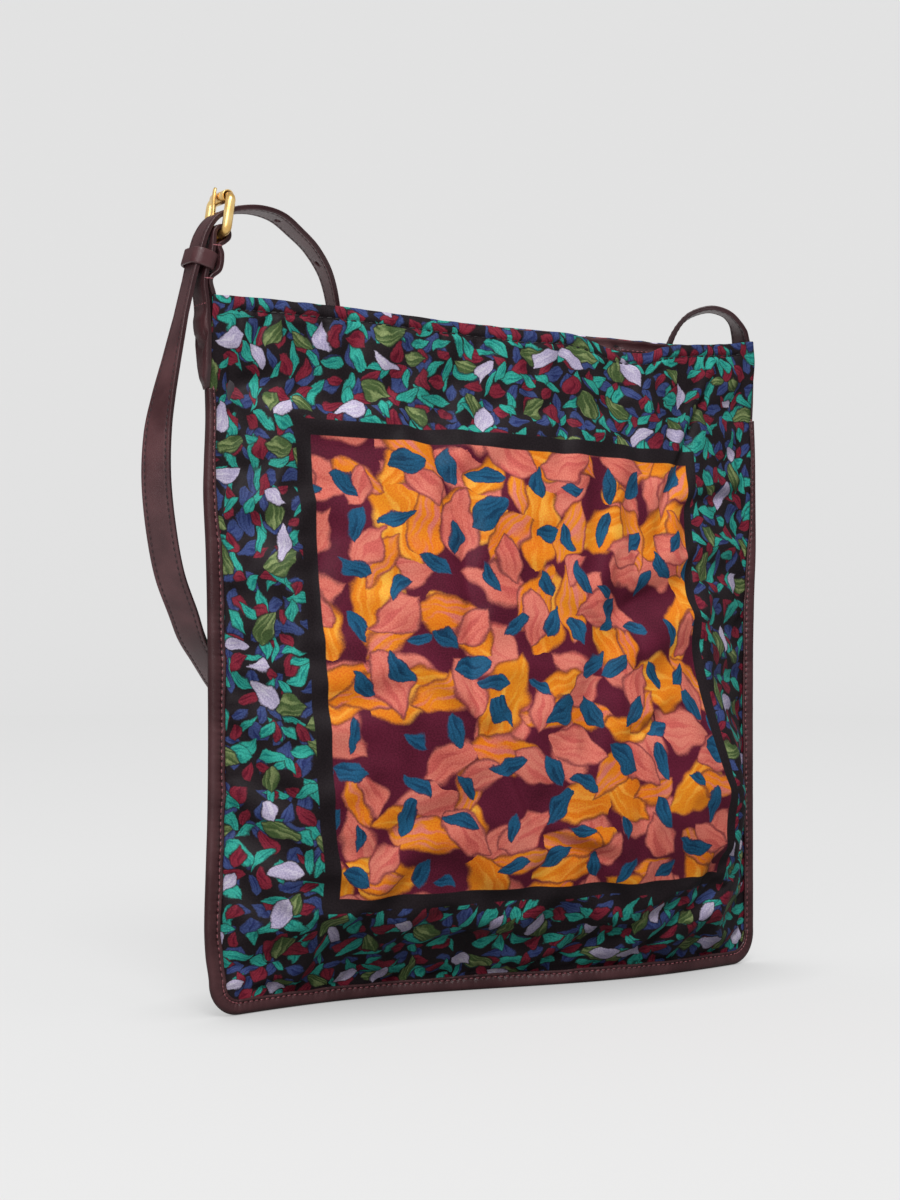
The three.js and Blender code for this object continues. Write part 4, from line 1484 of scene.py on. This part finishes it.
def tab():
    def leaf_swell(stations, across, height):
        """Two lobes on the sewn leaf's outer side, with a pointed crease between them."""
        z = tab_strip.centre[stations, 2]
        sewn = tab_strip.length[stations] < TAB_SEWN
        crease = LEAF_CREASE + LEAF_CREASE_POINT * np.abs(2 * across) ** LEAF_CREASE_CURVE
        upper = smooth((z - crease) / LEAF_SOFT) * (1 - smooth((z - LEAF_HEAD) / LEAF_HEAD_SOFT))
        below = smooth((z - crease + LEAF_SOFT) / LEAF_SOFT)
        lower = smooth((z - LEAF_FOOT) / LEAF_SOFT) * (1 - below)
        crown = np.sqrt(np.maximum(1 - (2 * across) ** 2, 0))
        return -(UPPER_LOBE * upper + LOWER_LOBE * lower) * crown * sewn * (height < 0)

    bm = sweep_strip(tab_strip, TAB, band_profile(), leaf_swell)
    piece = add_piece("tab_leather", bm, "leather", leather, replaced=["buckle_tab"])
    slot = bmesh.new()
    slot_width = PRONG_WIDTH + 4 * CLEARANCE
    size = Matrix.Diagonal((TAB_SLOT * MM, slot_width * MM, TAB_SLOT * MM, 1))
    place = in_buckle.copy()
    place.translation *= MM
    bmesh.ops.create_cube(slot, size=1, matrix=place @ size)
    cut_away(piece, slot)
    return piece


# Thread wrapped over the edges where the tab's two layers are sewn to each other
Wrap = namedtuple("Wrap", "x z reach")
TAB_WRAPS = [Wrap(-172.1, 358, 5), Wrap(-167.6, 374.3, 5)]


def tab_stitches():
    """Stitches across the tab where its two layers and the bag's side are sewn together."""
    bm = bmesh.new()
    rising = tab_strip.length < TAB_SEWN
    length = np.interp(TAB_SEAM_Z, tab_strip.centre[rising, 2], tab_strip.length[rising])
    centre, tangent, across, normal, width = strip_at(tab_strip, length)
    for k in range(-2, 3):
        place = centre + across * k * TAB_STITCH_SPACING - normal * (TAB / 2)
        sew(bm, place, across, -normal)
    for x, z, reach in TAB_WRAPS:
        for edge in (-1, 1):
            sew(bm, (x, edge * STRAP_WIDTH / 2, z), (1, 0, 0), (0, edge, 0), length=reach)
    return add_piece("tab_stitches", bm, "leather", leather_thread)


def keeper():
    width = STRAP_WIDTH + KEEPER_SPARE + KEEPER_WALL
    path, outward = rounded_rectangle(KEEPER_OPENING + KEEPER_WALL, width, KEEPER_RADIUS, steps=9)
    profile = rounded_rectangle(KEEPER_WALL, KEEPER_HEIGHT, KEEPER_EDGE_RADIUS, steps=5)[0]
    bm = sweep_ring(path, outward, profile, lambda x, y, rise: in_keeper @ Vector((x, y, rise)))
    return add_piece("keeper_leather", bm, "leather", leather, replaced=["strap_keeper"])


tab()
tab_stitches()
keeper()


# The brass buckle: frame, roller and prong

def buckle_frame():
    radius = FRAME_RADIUS - BAR / 2
    path, outward = rounded_rectangle(FRAME_INSIDE + BAR, BAR_SPACING, radius, steps=8)
    profile = circle(BAR / 2, steps=16)[0]
    girth = 1 + FRAME_SWELL * outward[:, :1] ** 2
    path = path + outward * (girth - 1) * BAR / 2

    def to_frame(across, up, through_it):
        return in_buckle @ Vector((through_it, across, up + BAR_SPACING / 2))

    bm = sweep_ring(path, outward, profile, to_frame, girth[:, 0])
    return add_piece("brass_frame", bm, "antique_brass", brass, replaced=["buckle_frame"])


def buckle_roller():
    path, outward = circle(BAR_BORE + ROLLER_WALL / 2, steps=28)
    profile = rounded_rectangle(ROLLER_WALL, STRAP_WIDTH, ROLLER_EDGE_RADIUS, steps=3)[0]

    def to_frame(x, z, rise):
        return in_buckle @ Vector((x, rise, z + BAR_SPACING))

    bm = sweep_ring(path, outward, profile, to_frame)
    return add_piece("brass_roller", bm, "antique_brass", brass, replaced=["buckle_roller"])


def buckle_prong():
    """One bent wire: round the bar, then up to rest on the roller."""
    radius = BAR_BORE + PRONG_WALL / 2
    rest = BAR_BORE + ROLLER_WALL + CLEARANCE + PRONG_WALL / 2
    stops = round_bar(radius, PRONG_ROUND_BAR)
    stops += [(-radius - out, z) for out, z in PRONG_BACK]
    stops += [(-rest + nod, z) for nod, z in PRONG_FRONT]
    route = []
    for x, z in stops:
        point = in_buckle @ Vector((x, 0, z))
        width = PRONG_WIDTH if z < PRONG_LENGTH else PRONG_TIP_WIDTH
        route.append(Stop(*point, 0, width))
    across, height = circle(1, PRONG_SIDES)[0].T
    section = np.column_stack([across / 2, height, np.zeros(PRONG_SIDES)])
    bm = sweep_strip(make_strip(route, PRONG_STEPS), PRONG_WALL, section)
    return add_piece("brass_prong", bm, "antique_brass", brass, replaced=["buckle_prong"])


brass_frame = buckle_frame()
brass_roller = buckle_roller()
brass_prong = buckle_prong()


# Stage, light and camera

STAGE_RADIUS = 3.2
STAGE_CURVE = 1.2
STAGE_CURVE_STEPS = 8
STAGE_WELD = 1e-6
STAGE_HEIGHT = 4
STAGE_GLOW = 0.58
PAPER_GREY = (0.2, 0.2, 0.2, 1)
WHITE = (1, 1, 1, 1)
# How far and how strongly the floor's glow is dimmed under the bag: a painted contact shadow
PAINTED_SHADE_REACH = 0.06
PAINTED_SHADE = 0.45


def spun(name, outline, finish):
    """A part of the stage: an outline of places (radius, height) turned about the middle."""
    bm = bmesh.new()
    line = [bm.verts.new((radius, 0, height)) for radius, height in outline]
    edges = [bm.edges.new(pair) for pair in zip(line, line[1:])]
    bmesh.ops.spin(
        bm,
        geom=line + edges,
        axis=(0, 0, 1),
        angle=2 * math.pi,
        steps=64,
        use_merge=True,
    )
    bmesh.ops.remove_doubles(bm, verts=bm.verts, dist=STAGE_WELD)
    bmesh.ops.recalc_face_normals(bm, faces=bm.faces)
    mesh = finished_mesh(name, bm)
    mesh.shade_smooth()
    mesh.materials.append(finish.material)
    part = set_out(name, mesh)
    return part


def studio_paper(name):
    finish = Finish(name)
    finish.set(Base_Color=PAPER_GREY, Roughness=1.0, Specular_IOR_Level=0.0)
    finish.set(Emission_Color=WHITE, Emission_Strength=STAGE_GLOW)
    return finish


def studio_stage():
    """A round pale floor, and a wall that curves up from it, so no horizon shows."""
    wall = []
    for k in range(STAGE_CURVE_STEPS + 1):
        turn = math.pi / 2 * k / STAGE_CURVE_STEPS
        radius = STAGE_RADIUS + STAGE_CURVE * math.sin(turn)
        wall.append((radius, STAGE_CURVE * (1 - math.cos(turn))))
    wall.append((STAGE_RADIUS + STAGE_CURVE, STAGE_HEIGHT))
    floor_paper = studio_paper("floor_paper")
    # The floor glows less where the bag hides the air above it: a painted contact shadow.
    inputs = {"Distance": PAINTED_SHADE_REACH}
    openness_for_painted_shade = floor_paper.add("ShaderNodeAmbientOcclusion", inputs).outputs["AO"]
    glow = floor_paper.spread(openness_for_painted_shade, STAGE_GLOW * (1 - PAINTED_SHADE), STAGE_GLOW)
    floor_paper.set(Emission_Strength=glow)
    floor = spun("studio_floor", [(0, 0), (STAGE_RADIUS, 0)], floor_paper)
    return floor, spun("studio_wall", wall, studio_paper("wall_paper"))


def keep_glow_off(glowing, unlit_pieces):
    """The stage glows to look evenly pale. This part's glow doesn't light these pieces."""
    unlit = bpy.data.collections.new("no_glow_of_" + glowing.name)
    glowing.light_linking.receiver_collection = unlit
    for piece in unlit_pieces:
        unlit.objects.link(piece)
    for member in unlit.collection_objects:
        member.light_linking.link_state = "EXCLUDE"


AIR_GLOW = 0.6
BAG_MIDDLE = Vector((0, 0, 0.2))


def soft_light(name, place, size, power):
    """A round light that is turned to the middle of the bag."""
    data = bpy.data.lights.new(name, "AREA")
    data.shape = "DISK"
    data.size = size
    data.energy = power
    light = set_out(name, data)
    light.location = place
    light.rotation_euler = (BAG_MIDDLE - Vector(place)).to_track_quat("-Z", "Y").to_euler()


def studio_light():
    world = bpy.data.worlds.new("studio_air")
    world.use_nodes = True
    air = world.node_tree.nodes["Background"].inputs
    air["Color"].default_value = WHITE
    air["Strength"].default_value = AIR_GLOW
    bpy.context.scene.world = world
    soft_light("key", place=(-1.2, -2.6, 3.0), size=1.8, power=112)
    soft_light("fill", place=(-1.9, -1.6, 1.1), size=1.5, power=14)


CAMERA_PLACE = (-0.6073, -0.9470, 0.1950)
CAMERA_YAW = 31.29
CAMERA_RISE = 0.44
CAMERA_LENS = 64.18
CAMERA_SENSOR = 36


def photo_camera():
    data = bpy.data.cameras.new("camera")
    data.lens = CAMERA_LENS
    data.sensor_width = CAMERA_SENSOR
    camera = set_out("camera", data)
    camera.location = CAMERA_PLACE
    camera.rotation_euler = (math.radians(90 + CAMERA_RISE), 0, math.radians(-CAMERA_YAW))
    bpy.context.scene.camera = camera


floor, wall = studio_stage()
lit_all_round = [back_cloth, back_hem, brass_frame, brass_roller, brass_prong]
keep_glow_off(floor, [front_cloth, front_hem, binding, binding_thread])
keep_glow_off(wall, [piece for piece in pieces if piece not in lit_all_round])
studio_light()
photo_camera()
bpy.context.scene.view_settings.view_transform = "Standard"
